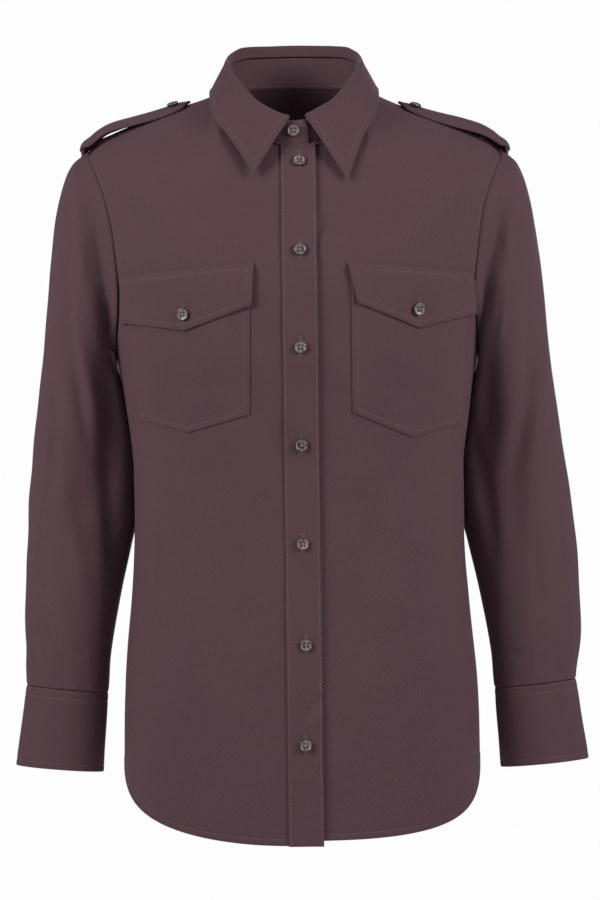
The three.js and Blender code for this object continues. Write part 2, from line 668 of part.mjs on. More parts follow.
function standPoint(angle, v) {
  const folded = foldedAngle(angle);
  const bottom = neckPoint(angle);
  bottom.z += SEAM_GAP;
  const fromEnd = degToRad(Math.min(angle - STAND.start, STAND.end - angle)) * NECK.front;
  const missing = STAND_CORNER - Math.sqrt(Math.max(0, STAND_CORNER ** 2 - Math.max(0, STAND_CORNER - fromEnd) ** 2));
  const height = standHeight(folded);
  const top = ovalPoint(angle, STAND, bottom.z + height);
  const point = bottom.lerp(top, (v * (height - missing)) / height);
  const outwards = new THREE.Vector3(point.x, point.y, 0).normalize();
  return point.addScaledVector(outwards, standLift(angle));
}

function standAngles() {
  const rounds = count(Math.round(360 / NECK_STEP)).map((i) => (i + 1) * NECK_STEP);
  rounds.splice(-1, 0, COLLAR_END);
  return [STAND.start, -6.5, FRONT_CORNER, COLLAR_START, ...rounds, 365, 369.5, 373, STAND.end];
}

function collarStand() {
  const angles = standAngles();
  const points = [0, 0.5, 1].map((v) => angles.map((angle) => standPoint(angle, v)));
  return new Sheet(points, { thickness: STAND_CLOTH });
}

// The collar's outer edge, by the neckline's angle
function collarEdge(fronts) {
  const rows = COLLAR_EDGE.map(({ angle, x, z, lift }) => {
    const { at, out } = onFront(fronts, x, z);
    const place = at.addScaledVector(out, lift);
    return { angle, x: place.x, y: place.y, z: place.z };
  });
  const edge = [...rows, ...COLLAR_BACK_EDGE];
  const curves = ['x', 'y', 'z'].map((key) => through(edge, 'angle', key));
  return (angle) => {
    const folded = foldedAngle(angle);
    const side = angle > 180 ? -1 : 1;
    const lean = side < 0 ? 1 - smoothstep(folded, 0, 60) : 0;
    const [x, y, z] = curves.map((curve) => curve(folded));
    return new THREE.Vector3(side * x + lean * COLLAR_LEAN.tipX, y, z + lean * COLLAR_LEAN.tipZ);
  };
}

function collar(fronts) {
  const edge = collarEdge(fronts);
  const inner = count(Math.round(360 / NECK_STEP) + 1).map((i) => i * NECK_STEP)
    .filter((angle) => angle > COLLAR_START + 2 && angle < COLLAR_END - 2);
  const columns = [COLLAR_START, ...inner, COLLAR_END].map((angle) => {
    const folded = foldedAngle(angle);
    const start = ovalPoint(angle, STAND, neckPoint(angle).z + standHeight(folded) + COLLAR_SEAT);
    const outwards = new THREE.Vector3(start.x, start.y, 0).normalize();
    start.addScaledVector(outwards, standLift(angle) - STAND_CLOTH);
    const rise = collarRise(folded);
    const roll = collarRoll(folded);
    const fold = [0, 45, 90, 135, 180].map((turn) => start.clone()
      .addScaledVector(outwards, roll * (1 - Math.cos(degToRad(turn))))
      .add(new THREE.Vector3(0, 0, rise + roll * Math.sin(degToRad(turn)))));
    const fall = fold[fold.length - 1];
    const end = edge(angle);
    const drop = [0.25, 0.5, 0.75, 1].map((share) => fall.clone().lerp(end, share));
    return [start, ...fold, ...drop];
  });
  const points = columns[0].map((_, row) => columns.map((column) => column[row]));
  return new Sheet(points, { thickness: DOUBLE_CLOTH, inside: new THREE.Vector3(0, 0, 0) });
}

// Shoulder straps
function strapPoint({ x, z, half, front, back }, share, side) {
  const { from, to, fade, end, lift } = STRAP_ARCH;
  const arch = side < 0 ? lift * smoothstep(x, from, to) * (1 - smoothstep(x, fade, end)) : 0;
  const drop = (share < 0 ? front : back) - arch;
  return new THREE.Vector3(side * x, half * share, z - shoulderDrop(x, side) - drop * share * share);
}

function strap(side) {
  const points = STRAP.map((row) => STRAP_ACROSS.map((share) => strapPoint(row, share, side)));
  return new Sheet(points, { thickness: DOUBLE_CLOTH, inside: new THREE.Vector3(side * 150, 0, -100) });
}

function strapAt(x) {
  return { x, z: strapMiddle(x), half: strapHalf(x), front: strapFront(x), back: strapBack(x) };
}

// Buttons
function buttonGeometry() {
  const radius = BUTTON.diameter / 2;
  const disc = new THREE.Shape(count(BUTTON.sides).map((i) => {
    const turn = (2 * Math.PI * i) / BUTTON.sides;
    return new THREE.Vector2(radius * Math.cos(turn), radius * Math.sin(turn));
  }));
  const holeCorner = ([x, y], turn) => (
    new THREE.Vector2(x + BUTTON.hole * Math.cos(turn), y + BUTTON.hole * Math.sin(turn))
  );
  disc.holes = count(4).map((i) => {
    const turn = Math.PI / 4 + (i * Math.PI) / 2;
    const middle = [BUTTON.holeOffset * Math.cos(turn), BUTTON.holeOffset * Math.sin(turn)];
    return new THREE.Path(count(4).map((corner) => holeCorner(middle, turn - (corner * Math.PI) / 2)));
  });
  return new THREE.ExtrudeGeometry(disc, { depth: BUTTON.thickness, bevelEnabled: false });
}

const cloth = new THREE.MeshStandardMaterial({ color: SHIRT_COLOUR, roughness: 0.85, metalness: 0 });
const horn = new THREE.MeshStandardMaterial({ color: BUTTON_COLOUR, roughness: 0.35, metalness: 0 });
const shirt = new THREE.Group();

function addCloth(name, sheet) {
  const mesh = new THREE.Mesh(sheet.geometry(), cloth.clone());
  mesh.name = name;
  shirt.add(mesh);
}

function addButton(name, { at, out }, lift) {
  const mesh = new THREE.Mesh(buttonGeometry(), horn.clone());
  mesh.name = name;
  mesh.position.copy(at).addScaledVector(out, lift + BUTTON.gap);
  mesh.quaternion.setFromUnitVectors(new THREE.Vector3(0, 0, 1), out);
  shirt.add(mesh);
}

const SIDES = [{ word: 'right', side: -1 }, { word: 'left', side: 1 }];
const frontRight = frontPanel('front_right', -1);
const frontLeft = frontPanel('front_left', 1);
const fronts = [frontRight, frontLeft];
const back = backPanel();
sewPanels(frontRight, back, -1);
sewPanels(frontLeft, back, 1);
const loops = [armhole(frontRight, back, -1), armhole(frontLeft, back, 1)];
const sleeves = SIDES.map(({ side }, i) => sleeve(loops[i], side));
SIDES.forEach(({ side }, i) => sewSleeve(loops[i], sleeves[i], side));

addCloth('front_right', frontRight);
addCloth('front_left', frontLeft);
addCloth('back', back);
addCloth('front_placket', placket(fronts));
addCloth('collar_stand', collarStand());
addCloth('collar', collar(fronts));
SIDES.forEach(({ word, side }, i) => {
  addCloth(`sleeve_${word}`, sleeves[i]);
  addCloth(`sleeve_placket_${word}`, sleevePlacket(sleeves[i]));
  addCloth(`cuff_${word}`, cuff(side));
  addCloth(`pocket_${word}`, pocket(`pocket_${word}`, fronts));
  addCloth(`flap_${word}`, flap(`flap_${word}`, fronts));
  addCloth(`epaulette_${word}`, strap(side));
});

// Buttons, each just above the layers it closes
const standFace = standPoint(COLLAR_BUTTON.angle, COLLAR_BUTTON.v);
addButton('button_collar', { at: standFace, out: new THREE.Vector3(0, -1, 0) }, COLLAR_BUTTON.lift);
FRONT_BUTTONS.forEach(({ x, z }, i) => {
  addButton(`button_front_${i + 1}`, onFront(fronts, x, z), PLACKET.lift + CLOTH);
});
SIDES.forEach(({ word, side }) => {
  const overFlap = LAID_GAP + CLOTH + SEAM_GAP * 2 + DOUBLE_CLOTH;
  addButton(`button_flap_${word}`, onFront(fronts, ...FLAP_BUTTONS[`flap_${word}`]), overFlap);
  const strapFace = strapPoint(strapAt(STRAP_BUTTON.x), STRAP_BUTTON.across, side);
  const strapOut = new THREE.Vector3(side * STRAP_BUTTON.slope, -STRAP_BUTTON.tilt, 1).normalize();
  addButton(`button_epaulette_${word}`, { at: strapFace, out: strapOut }, 0);
  const cuffAngle = CUFF_BUTTON.angle + 360;
  const cuffFace = cuffPoint(cuffAngle, CUFF_BUTTON.v, side);
  const cuffMiddle = cuffPoint(0, CUFF_BUTTON.v, side).lerp(cuffPoint(180, CUFF_BUTTON.v, side), 0.5);
  const cuffOut = cuffFace.clone().sub(cuffMiddle).normalize();
  addButton(`button_cuff_${word}`, { at: cuffFace, out: cuffOut }, CUFF_BUTTON.lift);
});

export default shirt;
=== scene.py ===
"""A long-sleeved utility shirt in brown twill, filled out as if worn by no one.

Sizes are millimetres until a mesh is made. The front faces -Y and the wearer's left is at +X.
"""

import logging
import math
from collections import defaultdict
from dataclasses import dataclass, field
from enum import Enum

import bpy
import numpy as np
from mathutils import Matrix, Vector
from mathutils.bvhtree import BVHTree


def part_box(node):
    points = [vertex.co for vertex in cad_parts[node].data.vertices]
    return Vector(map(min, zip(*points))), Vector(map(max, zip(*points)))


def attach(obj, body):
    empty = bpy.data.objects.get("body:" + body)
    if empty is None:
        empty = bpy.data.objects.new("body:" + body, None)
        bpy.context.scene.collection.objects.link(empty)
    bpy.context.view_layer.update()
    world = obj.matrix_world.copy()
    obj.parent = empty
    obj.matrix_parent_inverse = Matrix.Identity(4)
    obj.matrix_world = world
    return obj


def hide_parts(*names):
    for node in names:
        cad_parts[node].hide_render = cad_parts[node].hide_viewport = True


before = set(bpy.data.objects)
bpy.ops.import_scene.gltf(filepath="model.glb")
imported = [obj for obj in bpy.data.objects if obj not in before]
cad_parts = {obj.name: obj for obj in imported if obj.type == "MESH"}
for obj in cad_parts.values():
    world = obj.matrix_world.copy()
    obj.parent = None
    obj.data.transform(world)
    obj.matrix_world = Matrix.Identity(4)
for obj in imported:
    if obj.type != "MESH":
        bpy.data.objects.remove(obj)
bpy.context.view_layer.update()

log = logging.getLogger("shirt")
Array = np.ndarray
# Lines on a cloth: the points of each, and the directions that face away from the cloth there
Lines = list[tuple[Array, Array]]
MM = 0.001


# Small sums that the pieces share

def lerp(start: Array, end: Array, share: Array) -> Array:
    """The place a share of the way from start to end."""
    return start + (end - start) * share


def smoothstep(value: Array, low: float, high: float) -> Array:
    """A soft step from 0 at low to 1 at high."""
    t = np.clip((value - low) / (high - low), 0, 1)
    return t * t * (3 - 2 * t)


def bump(distance: Array, width: float) -> Array:
    """A soft hump, 1 at distance 0 and nearly 0 past twice its width."""
    return np.exp(-((distance / width) ** 2))


def unit(vectors: Array) -> Array:
    """The same directions, each of length 1."""
    return vectors / np.maximum(np.linalg.norm(vectors, axis=-1, keepdims=True), 1e-9)


def stations(end: float, step: float, *dense: tuple[float, float, float]) -> Array:
    """Marks from 0 to end, closer together where seams and edges need them.

    Args:
        end: The last mark.
        step: The usual distance between marks.
        dense: Stretches with closer marks, each (start, stop, step).

    Returns:
        The marks in rising order.
    """
    marks = np.linspace(0, end, round(end / step) + 1)
    for start, stop, fine in dense:
        kept = marks[(marks < start - fine * 0.6) | (marks > stop + fine * 0.6)]
        extra = np.linspace(start, stop, max(2, round((stop - start) / fine) + 1))
        marks = np.sort(np.concatenate([kept, extra]))
    return marks


def nearest_on_line(points: Array, line: Array) -> tuple[Array, Array]:
    """How far points are from a line of straight steps, and how far along it they meet it.

    Args:
        points: (n, d) places.
        line: (m, d) corners of the line.

    Returns:
        The distances, and the shares of the line's length from 0 to 1.
    """
    starts, steps = line[:-1], np.diff(line, axis=0)
    lengths = np.linalg.norm(steps, axis=1)
    before = np.concatenate([[0], np.cumsum(lengths)])
    distances, shares = [], []
    for chunk in np.array_split(points, max(1, len(points) * len(steps) // 600000)):
        away = chunk[:, None, :] - starts[None]
        along = np.clip((away * steps).sum(2) / np.maximum(lengths**2, 1e-12), 0, 1)
        gaps = np.linalg.norm(away - along[..., None] * steps, axis=2)
        best = gaps.argmin(axis=1)
        picked = np.arange(len(chunk))
        distances.append(gaps[picked, best])
        shares.append((before[best] + along[picked, best] * lengths[best]) / before[-1])
    return np.concatenate(distances), np.concatenate(shares)


class Curve:
    """A smooth curve through a table of (x, y) rows that never overshoots."""

    def __init__(self, rows: list[tuple[float, float]], flat_ends: bool = False) -> None:
        """Works out the slopes at the rows.

        Args:
            rows: The table, by rising x.
            flat_ends: Whether the curve is level at both ends.
        """
        self.xs, self.ys = np.array(rows, float).T
        secants = np.diff(self.ys) / np.diff(self.xs)
        product = secants[:-1] * secants[1:]
        total = np.where(product > 0, secants[:-1] + secants[1:], 1)
        inner = np.where(product > 0, 2 * product / total, 0)
        ends = (0, 0) if flat_ends else (secants[0], secants[-1])
        self.slopes = np.concatenate([[ends[0]], inner, [ends[1]]])

    def __call__(self, x: Array) -> Array:
        """The curve's height at x.

        Args:
            x: Where it is wanted.

        Returns:
            The heights.
        """
        i = np.clip(np.searchsorted(self.xs, x, side="right") - 1, 0, len(self.xs) - 2)
        span = self.xs[i + 1] - self.xs[i]
        t = np.clip((x - self.xs[i]) / span, 0, 1)
        rise = lerp(self.ys[i], self.ys[i + 1], t * t * (3 - 2 * t))
        return rise + span * t * (1 - t) * ((1 - t) * self.slopes[i] - t * self.slopes[i + 1])


class Face(Enum):
    """Which side of the shirt a crease is on."""

    FRONT = -1
    BACK = 1


class Edge(Enum):
    """The four edges of a piece's grid of points."""

    FIRST_ROW = 0
    LAST_ROW = 1
    FIRST_COLUMN = 2
    LAST_COLUMN = 3


@dataclass(frozen=True)
class Crease:
    """A fold, drawn by its (x, z) path on the front or back; it swells out or, below 0, sinks in."""

    path: tuple[tuple[float, float], ...]
    depth: float
    width: float
    face: Face = Face.FRONT
    fade: float = 0.35

    def heights(self, points: Array, outs: Array) -> Array:
        """How far the crease moves each point along its outward direction.

        Args:
            points: The cloth's points.
            outs: Their outward directions.

        Returns:
            A height for each point.
        """
        corners = np.array(self.path, float)
        marks = np.arange(len(corners))
        fine = np.linspace(0, len(corners) - 1, 24)
        line = np.stack([Curve(list(zip(marks, corners[:, i])))(fine) for i in (0, 1)], axis=1)
        distance, along = nearest_on_line(points[..., (0, 2)].reshape(-1, 2), line)
        ends = smoothstep(along, 0, self.fade) * (1 - smoothstep(along, 1 - self.fade, 1))
        facing = smoothstep(self.face.value * outs[..., 1], 0.02, 0.4)
        return self.depth * (bump(distance, self.width) * ends).reshape(facing.shape) * facing


def undulation(points: Array, size: float, wavelength: float, seed: int) -> Array:
    """A faint unevenness of the whole cloth, the same in every run.

    Args:
        points: The cloth's points.
        size: Its usual height.
        wavelength: The distance between its swells.
        seed: Which of many such patterns.

    Returns:
        The height at each point.
    """
    random = np.random.default_rng(seed)
    directions = unit(random.normal(size=(7, 3)) * (1.0, 1.0, 0.55))
    stretch = random.uniform(0.6, 1.5, 7)
    phases = random.uniform(0, 2 * math.pi, 7)
    waves = np.sin(points @ directions.T * (2 * math.pi / wavelength) * stretch + phases)
    return size * waves.sum(axis=-1) / 3


# Cloth

@dataclass
class Cloth:
    """A grid of points on the outer face of one cut piece, with the directions that face out."""

    points: Array
    thickness: float
    towards: Array
    ring: bool = False
    outs: Array = field(init=False)

    def __post_init__(self) -> None:
        """Finds which way the cloth faces."""
        self.face_out()

    def face_out(self) -> None:
        """Works out the outward directions from the grid; towards points roughly outwards."""
        grid = self.points
        if self.ring:
            grid = np.concatenate([grid[:, -1:], grid, grid[:, :1]], axis=1)
        across = np.gradient(grid, axis=1)
        along = np.gradient(grid, axis=0)
        normals = np.cross(across, along)
        if self.ring:
            normals = normals[:, 1:-1]
        outward = (normals * self.towards).sum()
        self.outs = unit(normals) * (1 if outward > 0 else -1)

    def raised(self, heights: Array) -> None:
        """Moves the points out by their heights and finds the new directions."""
        self.points = self.points + self.outs * np.asarray(heights)[..., None]
        self.face_out()

    def edge(self, edge: Edge, part: slice = slice(None)) -> Array:
        """The points along one edge, or along part of it."""
        line = {
            Edge.FIRST_ROW: self.points[0],
            Edge.LAST_ROW: self.points[-1],
            Edge.FIRST_COLUMN: self.points[:, 0],
            Edge.LAST_COLUMN: self.points[:, -1],
        }[edge]
        return line[part]

    def distance(self, *lines: Array) -> Array:
        """How far each point is from the nearest of the lines.

        Args:
            lines: The points of each line.

        Returns:
            The distances.
        """
        flat = self.points.reshape(-1, 3)
        gaps = [nearest_on_line(flat, line)[0].reshape(self.points.shape[:2]) for line in lines]
        return np.minimum.reduce(gaps)

    def contour(self, distances: Array, level: float, inside: bool = False) -> Lines:
        """The lines on the cloth where a distance has one value.

        Args:
            distances: A number for each point of the grid.
            level: The value to follow.
            inside: Whether the lines are wanted on the inner face.

        Returns:
            For each line its points and the directions that face away from the cloth there.
        """
        points = self.points - self.outs * self.thickness if inside else self.points
        faces = np.concatenate([points, -self.outs if inside else self.outs], axis=2)
        value = distances - level + 1e-7
        if self.ring:
            faces = np.concatenate([faces, faces[:, :1]], axis=1)
            value = np.concatenate([value, value[:, :1]], axis=1)
        above = value > 0
        total = above[:-1, :-1].astype(int) + above[1:, :-1] + above[:-1, 1:] + above[1:, 1:]
        links: dict = defaultdict(list)
        for r, c in zip(*np.nonzero((total > 0) & (total < 4))):
            sides = ((r, c, 0, 1), (r + 1, c, 0, 1), (r, c, 1, 0), (r, c + 1, 1, 0))
            cut = [(i, j, down, on) for i, j, down, on in sides if above[i, j] != above[i + down, j + on]]
            links[cut[0]].append(cut[1])
            links[cut[1]].append(cut[0])
        lines = []
        while links:
            start = next((key for key, others in links.items() if len(others) == 1), next(iter(links)))
            chain, key, ends = [start], start, links[start]
            while key in links:
                onward = [other for other in links.pop(key) if other in links]
                if onward:
                    key = onward[0]
                    chain.append(key)
            if len(chain) > 2 and chain[-1] in ends:
                chain.append(start)
            keys = np.array(chain)
            first, second = keys[:, :2], keys[:, :2] + keys[:, 2:]
            low, high = value[tuple(first.T)], value[tuple(second.T)]
            line = lerp(faces[tuple(first.T)], faces[tuple(second.T)], (low / (low - high))[:, None])
            if len(line) > 2:
                lines.append((line[:, :3], unit(line[:, 3:])))
        return lines

    def grain(self) -> Array:
        """Coordinates in metres across and along the cloth, seen from outside with no mirroring.

        Returns:
            The coordinates of each point, with one more column on a ring.
        """
        grid = np.concatenate([self.points, self.points[:, :1]], axis=1) if self.ring else self.points
        across = np.linalg.norm(np.diff(grid, axis=1), axis=2).cumsum(axis=1)
        across = np.pad(across, ((0, 0), (1, 0)))
        across -= across[:, across.shape[1] // 2][:, None]
        along = np.linalg.norm(np.diff(grid, axis=0), axis=2).cumsum(axis=0)
        along = np.pad(along, ((1, 0), (0, 0)))
        turning = np.cross(np.diff(self.points[1:], axis=1), np.diff(self.points[:, 1:], axis=0))
        if (turning * self.outs[1:, 1:]).sum() < 0:
            across = -across
        return np.stack([across, along], axis=2) * MM

    def cut(self) -> tuple[tuple[float, float], float]:
        """The piece's cut size and area in metres, measured along the cloth.

        Returns:
            The width and length, and the area.
        """
        grid = np.concatenate([self.points, self.points[:, :1]], axis=1) if self.ring else self.points
        width = np.linalg.norm(np.diff(grid, axis=1), axis=2).sum(axis=1).max() * MM
        length = np.linalg.norm(np.diff(grid, axis=0), axis=2).sum(axis=0).max() * MM
        diagonals = np.cross(grid[1:, 1:] - grid[:-1, :-1], grid[1:, :-1] - grid[:-1, 1:])
        area = np.linalg.norm(diagonals, axis=2).sum() / 2 * MM * MM
        return (float(width), float(length)), float(min(area, width * length))

    def build(self, name: str, material: bpy.types.Material) -> bpy.types.Object:
        """Makes the closed shell of cloth.

        Args:
            name: The piece's name.
            material: Its finish.

        Returns:
            The new object, at the origin.
        """
        rows, columns = self.points.shape[:2]
        outer = self.points.reshape(-1, 3)
        inner = outer - self.outs.reshape(-1, 3) * self.thickness
        width = columns if self.ring else columns - 1
        r, c = np.meshgrid(np.arange(rows - 1), np.arange(width), indexing="ij")
        r, c = r.ravel(), c.ravel()
        corners = np.stack([r, c, r, c + 1, r + 1, c + 1, r + 1, c], axis=1).reshape(-1, 4, 2)
        rims = []
        for i in range(width):
            rims += [((0, i + 1), (0, i)), ((rows - 1, i), (rows - 1, i + 1))]
        for i in range(0 if self.ring else rows - 1):
            rims += [((i, 0), (i + 1, 0)), ((i + 1, columns - 1), (i, columns - 1))]
        rims = np.array(rims)
        walls = np.concatenate([rims, rims[:, ::-1]], axis=1)
        places = np.concatenate([corners, corners[:, ::-1], walls])
        index = places[..., 0] * columns + places[..., 1] % columns
        count = len(outer)
        index[len(corners): 2 * len(corners)] += count
        index[2 * len(corners):, 2:] += count
        turning = np.cross(outer[index[:len(corners), 2]] - outer[index[:len(corners), 0]],
                           outer[index[:len(corners), 3]] - outer[index[:len(corners), 1]])
        if (turning * self.outs.reshape(-1, 3)[index[:len(corners), 0]]).sum() < 0:
            index, places = index[:, ::-1], places[:, ::-1]
        mesh = bpy.data.meshes.new(name)
        mesh.from_pydata((np.concatenate([outer, inner]) * MM).tolist(), [], index.tolist())
        coordinates = self.grain()[places[..., 0], places[..., 1]]
        layer = mesh.uv_layers.new(name="grain")
        layer.data.foreach_set("uv", coordinates.reshape(-1).astype(np.float32))
        mesh.materials.append(material)
        mesh.polygons.foreach_set("use_smooth", np.ones(len(index), bool))
        mesh.set_sharp_from_angle(angle=math.radians(55))
        piece = bpy.data.objects.new(name, mesh)
        bpy.context.collection.objects.link(piece)
        return piece


# A cloth with its stitching
Made = tuple[Cloth, Lines]


@dataclass(frozen=True)
class Thread:
    """Lock stitches of sewing thread, one little lozenge each."""

    length: float = 2.2
    gap: float = 0.75
    width: float = 0.7
    height: float = 0.42

    def sew(self, name: str, lines: Lines, material: bpy.types.Material) -> bpy.types.Object:
        """Puts stitches along lines.

        Args:
            name: The piece's name.
            lines: Each line's points and the directions out of the cloth.
            material: The thread's finish.

        Returns:
            The stitches as one object.
        """
        vertices, faces = [], []
        ring = [(-1, 0), (0, 1), (1, 0), (0, -1)]
        pitch = self.length + self.gap
        for points, outs in lines:
            run = np.concatenate([[0], np.linalg.norm(np.diff(points, axis=0), axis=1).cumsum()])
            count = int(run[-1] / pitch)
            if count < 1:
                continue
            middles = (np.arange(count) + 0.5) * run[-1] / count
            at = [np.stack([np.interp(middles + shift, run, points[:, i]) for i in range(3)], axis=1)
                  for shift in (-self.length / 2, 0, self.length / 2)]
            out = unit(np.stack([np.interp(middles, run, outs[:, i]) for i in range(3)], axis=1))
            along = at[2] - at[0]
            side = unit(np.cross(along, out))
            stitch = [at[0], at[2]]
            for share in (-0.28, 0.28):
                for across, up in ring:
                    stitch.append(at[1] + along * share + side * (across * self.width / 2)
                                  + out * (up * self.height / 2))
            first = len(vertices) * 10
            for i in range(count):
                base = first + i * 10
                for k in range(4):
                    n = (k + 1) % 4
                    faces.append((base, base + 2 + n, base + 2 + k))
                    faces.append((base + 2 + k, base + 2 + n, base + 6 + n, base + 6 + k))
                    faces.append((base + 1, base + 6 + k, base + 6 + n))
            vertices.extend(np.stack(stitch, axis=1))
        return make_piece(name, np.array(vertices).reshape(-1, 3) * MM, faces, material)


def make_piece(name: str, vertices: Array, faces: list, material: bpy.types.Material) -> bpy.types.Object:
    """Makes an object from points in metres and faces.

    Args:
        name: The piece's name.
        vertices: Its points.
        faces: The corner numbers of each face.
        material: Its finish.

    Returns:
        The object, at the origin.
    """
    mesh = bpy.data.meshes.new(name)
    mesh.from_pydata(vertices.tolist(), [], faces)
    mesh.materials.append(material)
    mesh.polygons.foreach_set("use_smooth", np.ones(len(mesh.polygons), bool))
    piece = bpy.data.objects.new(name, mesh)
    bpy.context.collection.objects.link(piece)
    return piece


# Finishes

def linear(colour: str) -> tuple[float, float, float, float]:
    """An sRGB hex colour as linear red, green, blue and alpha."""
    channels = [int(colour[i:i + 2], 16) / 255 for i in (1, 3, 5)]
    return (*[c / 12.92 if c <= 0.04045 else ((c + 0.055) / 1.055) ** 2.4 for c in channels], 1.0)


def add_node(tree: bpy.types.NodeTree, kind: str, settings: dict, links: dict) -> bpy.types.Node:
    """Adds a shader node.

    Args:
        tree: The material's or world's nodes.
        kind: The node's type.
        settings: Attributes of the node, by name.
        links: For each input socket, a value or the output socket that feeds it.

    Returns:
        The node.
    """
    node = tree.nodes.new(kind)
    for key, value in settings.items():
        setattr(node, key, value)
    for key, value in links.items():
        if isinstance(value, bpy.types.NodeSocket):
            tree.links.new(value, node.inputs[key])
        else:
            node.inputs[key].default_value = value
    return node


def new_material(name: str) -> tuple[bpy.types.Material, bpy.types.NodeTree]:
    """A material with an empty node tree.

    Args:
        name: Its name.

    Returns:
        The material and its nodes.
    """
    material = bpy.data.materials.new(name)
    material.use_nodes = True
    material.node_tree.nodes.clear()
    return material, material.node_tree


@dataclass(frozen=True)
class Twill:
    """Soft mid-weight twill, piece dyed: fine diagonal ribs, matt, with a slight bloom at grazing angles."""

    name: str = "piece_dyed_twill"
    light: str = "#5e454a"
    dark: str = "#523b3f"
    # The real ribs are about 0.6 mm apart; drawn 2.1 mm apart, so that they show at all
    rib: float = 0.0021

    def material(self) -> bpy.types.Material:
        """Builds the finish on the cloth's own grain coordinates."""
        material, tree = new_material(self.name)
        grain = add_node(tree, "ShaderNodeUVMap", {"uv_map": "grain"}, {}).outputs["UV"]
        turned = add_node(tree, "ShaderNodeMapping", {}, {
            "Vector": grain, "Rotation": (0, 0, math.radians(-45)),
        }).outputs["Vector"]
        ribs = add_node(tree, "ShaderNodeTexWave", {"wave_type": "BANDS", "bands_direction": "Y"}, {
            "Vector": turned, "Scale": math.pi / 10 / self.rib, "Distortion": 1.1, "Detail": 2.0,
            "Detail Scale": 1.4, "Detail Roughness": 0.6,
        }).outputs["Fac"]
        yarn_place = add_node(tree, "ShaderNodeMapping", {}, {"Vector": turned, "Scale": (260, 1500, 1)})
        yarn = add_node(tree, "ShaderNodeTexNoise", {}, {
            "Vector": yarn_place.outputs["Vector"], "Scale": 1.0, "Detail": 3.0, "Roughness": 0.6,
        }).outputs["Fac"]
        cloud = add_node(tree, "ShaderNodeTexNoise", {}, {
            "Vector": grain, "Scale": 22.0, "Detail": 4.0, "Roughness": 0.55,
        }).outputs["Fac"]
        ribbed = add_node(tree, "ShaderNodeMath", {"operation": "MULTIPLY_ADD"}, {0: ribs, 1: 0.34, 2: 0.02})
        yarned = add_node(tree, "ShaderNodeMath", {"operation": "MULTIPLY_ADD"}, {
            0: yarn, 1: 0.5, 2: ribbed.outputs[0],
        })
        clouded = add_node(tree, "ShaderNodeMath", {"operation": "MULTIPLY_ADD", "use_clamp": True}, {
            0: cloud, 1: 0.45, 2: yarned.outputs[0],
        })
        colour = add_node(tree, "ShaderNodeMix", {"data_type": "RGBA"}, {
            0: clouded.outputs[0], 6: linear(self.dark), 7: linear(self.light),
        }).outputs[2]
        roughness = add_node(tree, "ShaderNodeMapRange", {}, {
            "Value": yarn, "To Min": 0.74, "To Max": 0.92,
        }).outputs["Result"]
        relief = add_node(tree, "ShaderNodeMath", {"operation": "MULTIPLY_ADD"}, {0: yarn, 1: 0.8, 2: ribs})
        normal = add_node(tree, "ShaderNodeBump", {}, {
            "Height": relief.outputs[0], "Strength": 0.3, "Distance": 0.00035,
        }).outputs["Normal"]
        shader = add_node(tree, "ShaderNodeBsdfPrincipled", {}, {
            "Base Color": colour, "Roughness": roughness, "Normal": normal, "IOR": 1.45,
            "Specular IOR Level": 0.25, "Sheen Weight": 0.16, "Sheen Roughness": 0.45,
            "Sheen Tint": linear("#c8a0b4"),
        })
        add_node(tree, "ShaderNodeOutputMaterial", {}, {"Surface": shader.outputs[0]})
        return material


@dataclass(frozen=True)
class SewingThread:
    """Spun polyester sewing thread: two plies, a touch lighter and silkier than the cloth."""

    name: str = "spun_sewing_thread"
    light: str = "#8a686c"
    dark: str = "#644a4e"

    def material(self) -> bpy.types.Material:
        """Builds the finish; the plies' twist is a fine streak."""
        material, tree = new_material(self.name)
        place = add_node(tree, "ShaderNodeTexCoord", {}, {}).outputs["Object"]
        plies = add_node(tree, "ShaderNodeTexNoise", {}, {
            "Vector": place, "Scale": 900.0, "Detail": 2.0,
        }).outputs["Fac"]
        colour = add_node(tree, "ShaderNodeMix", {"data_type": "RGBA"}, {
            0: plies, 6: linear(self.dark), 7: linear(self.light),
        }).outputs[2]
        normal = add_node(tree, "ShaderNodeBump", {}, {
            "Height": plies, "Strength": 0.4, "Distance": 0.0001,
        }).outputs["Normal"]
        shader = add_node(tree, "ShaderNodeBsdfPrincipled", {}, {
            "Base Color": colour, "Roughness": 0.55, "Normal": normal, "Sheen Weight": 0.1,
        })
        add_node(tree, "ShaderNodeOutputMaterial", {}, {"Surface": shader.outputs[0]})
        return material


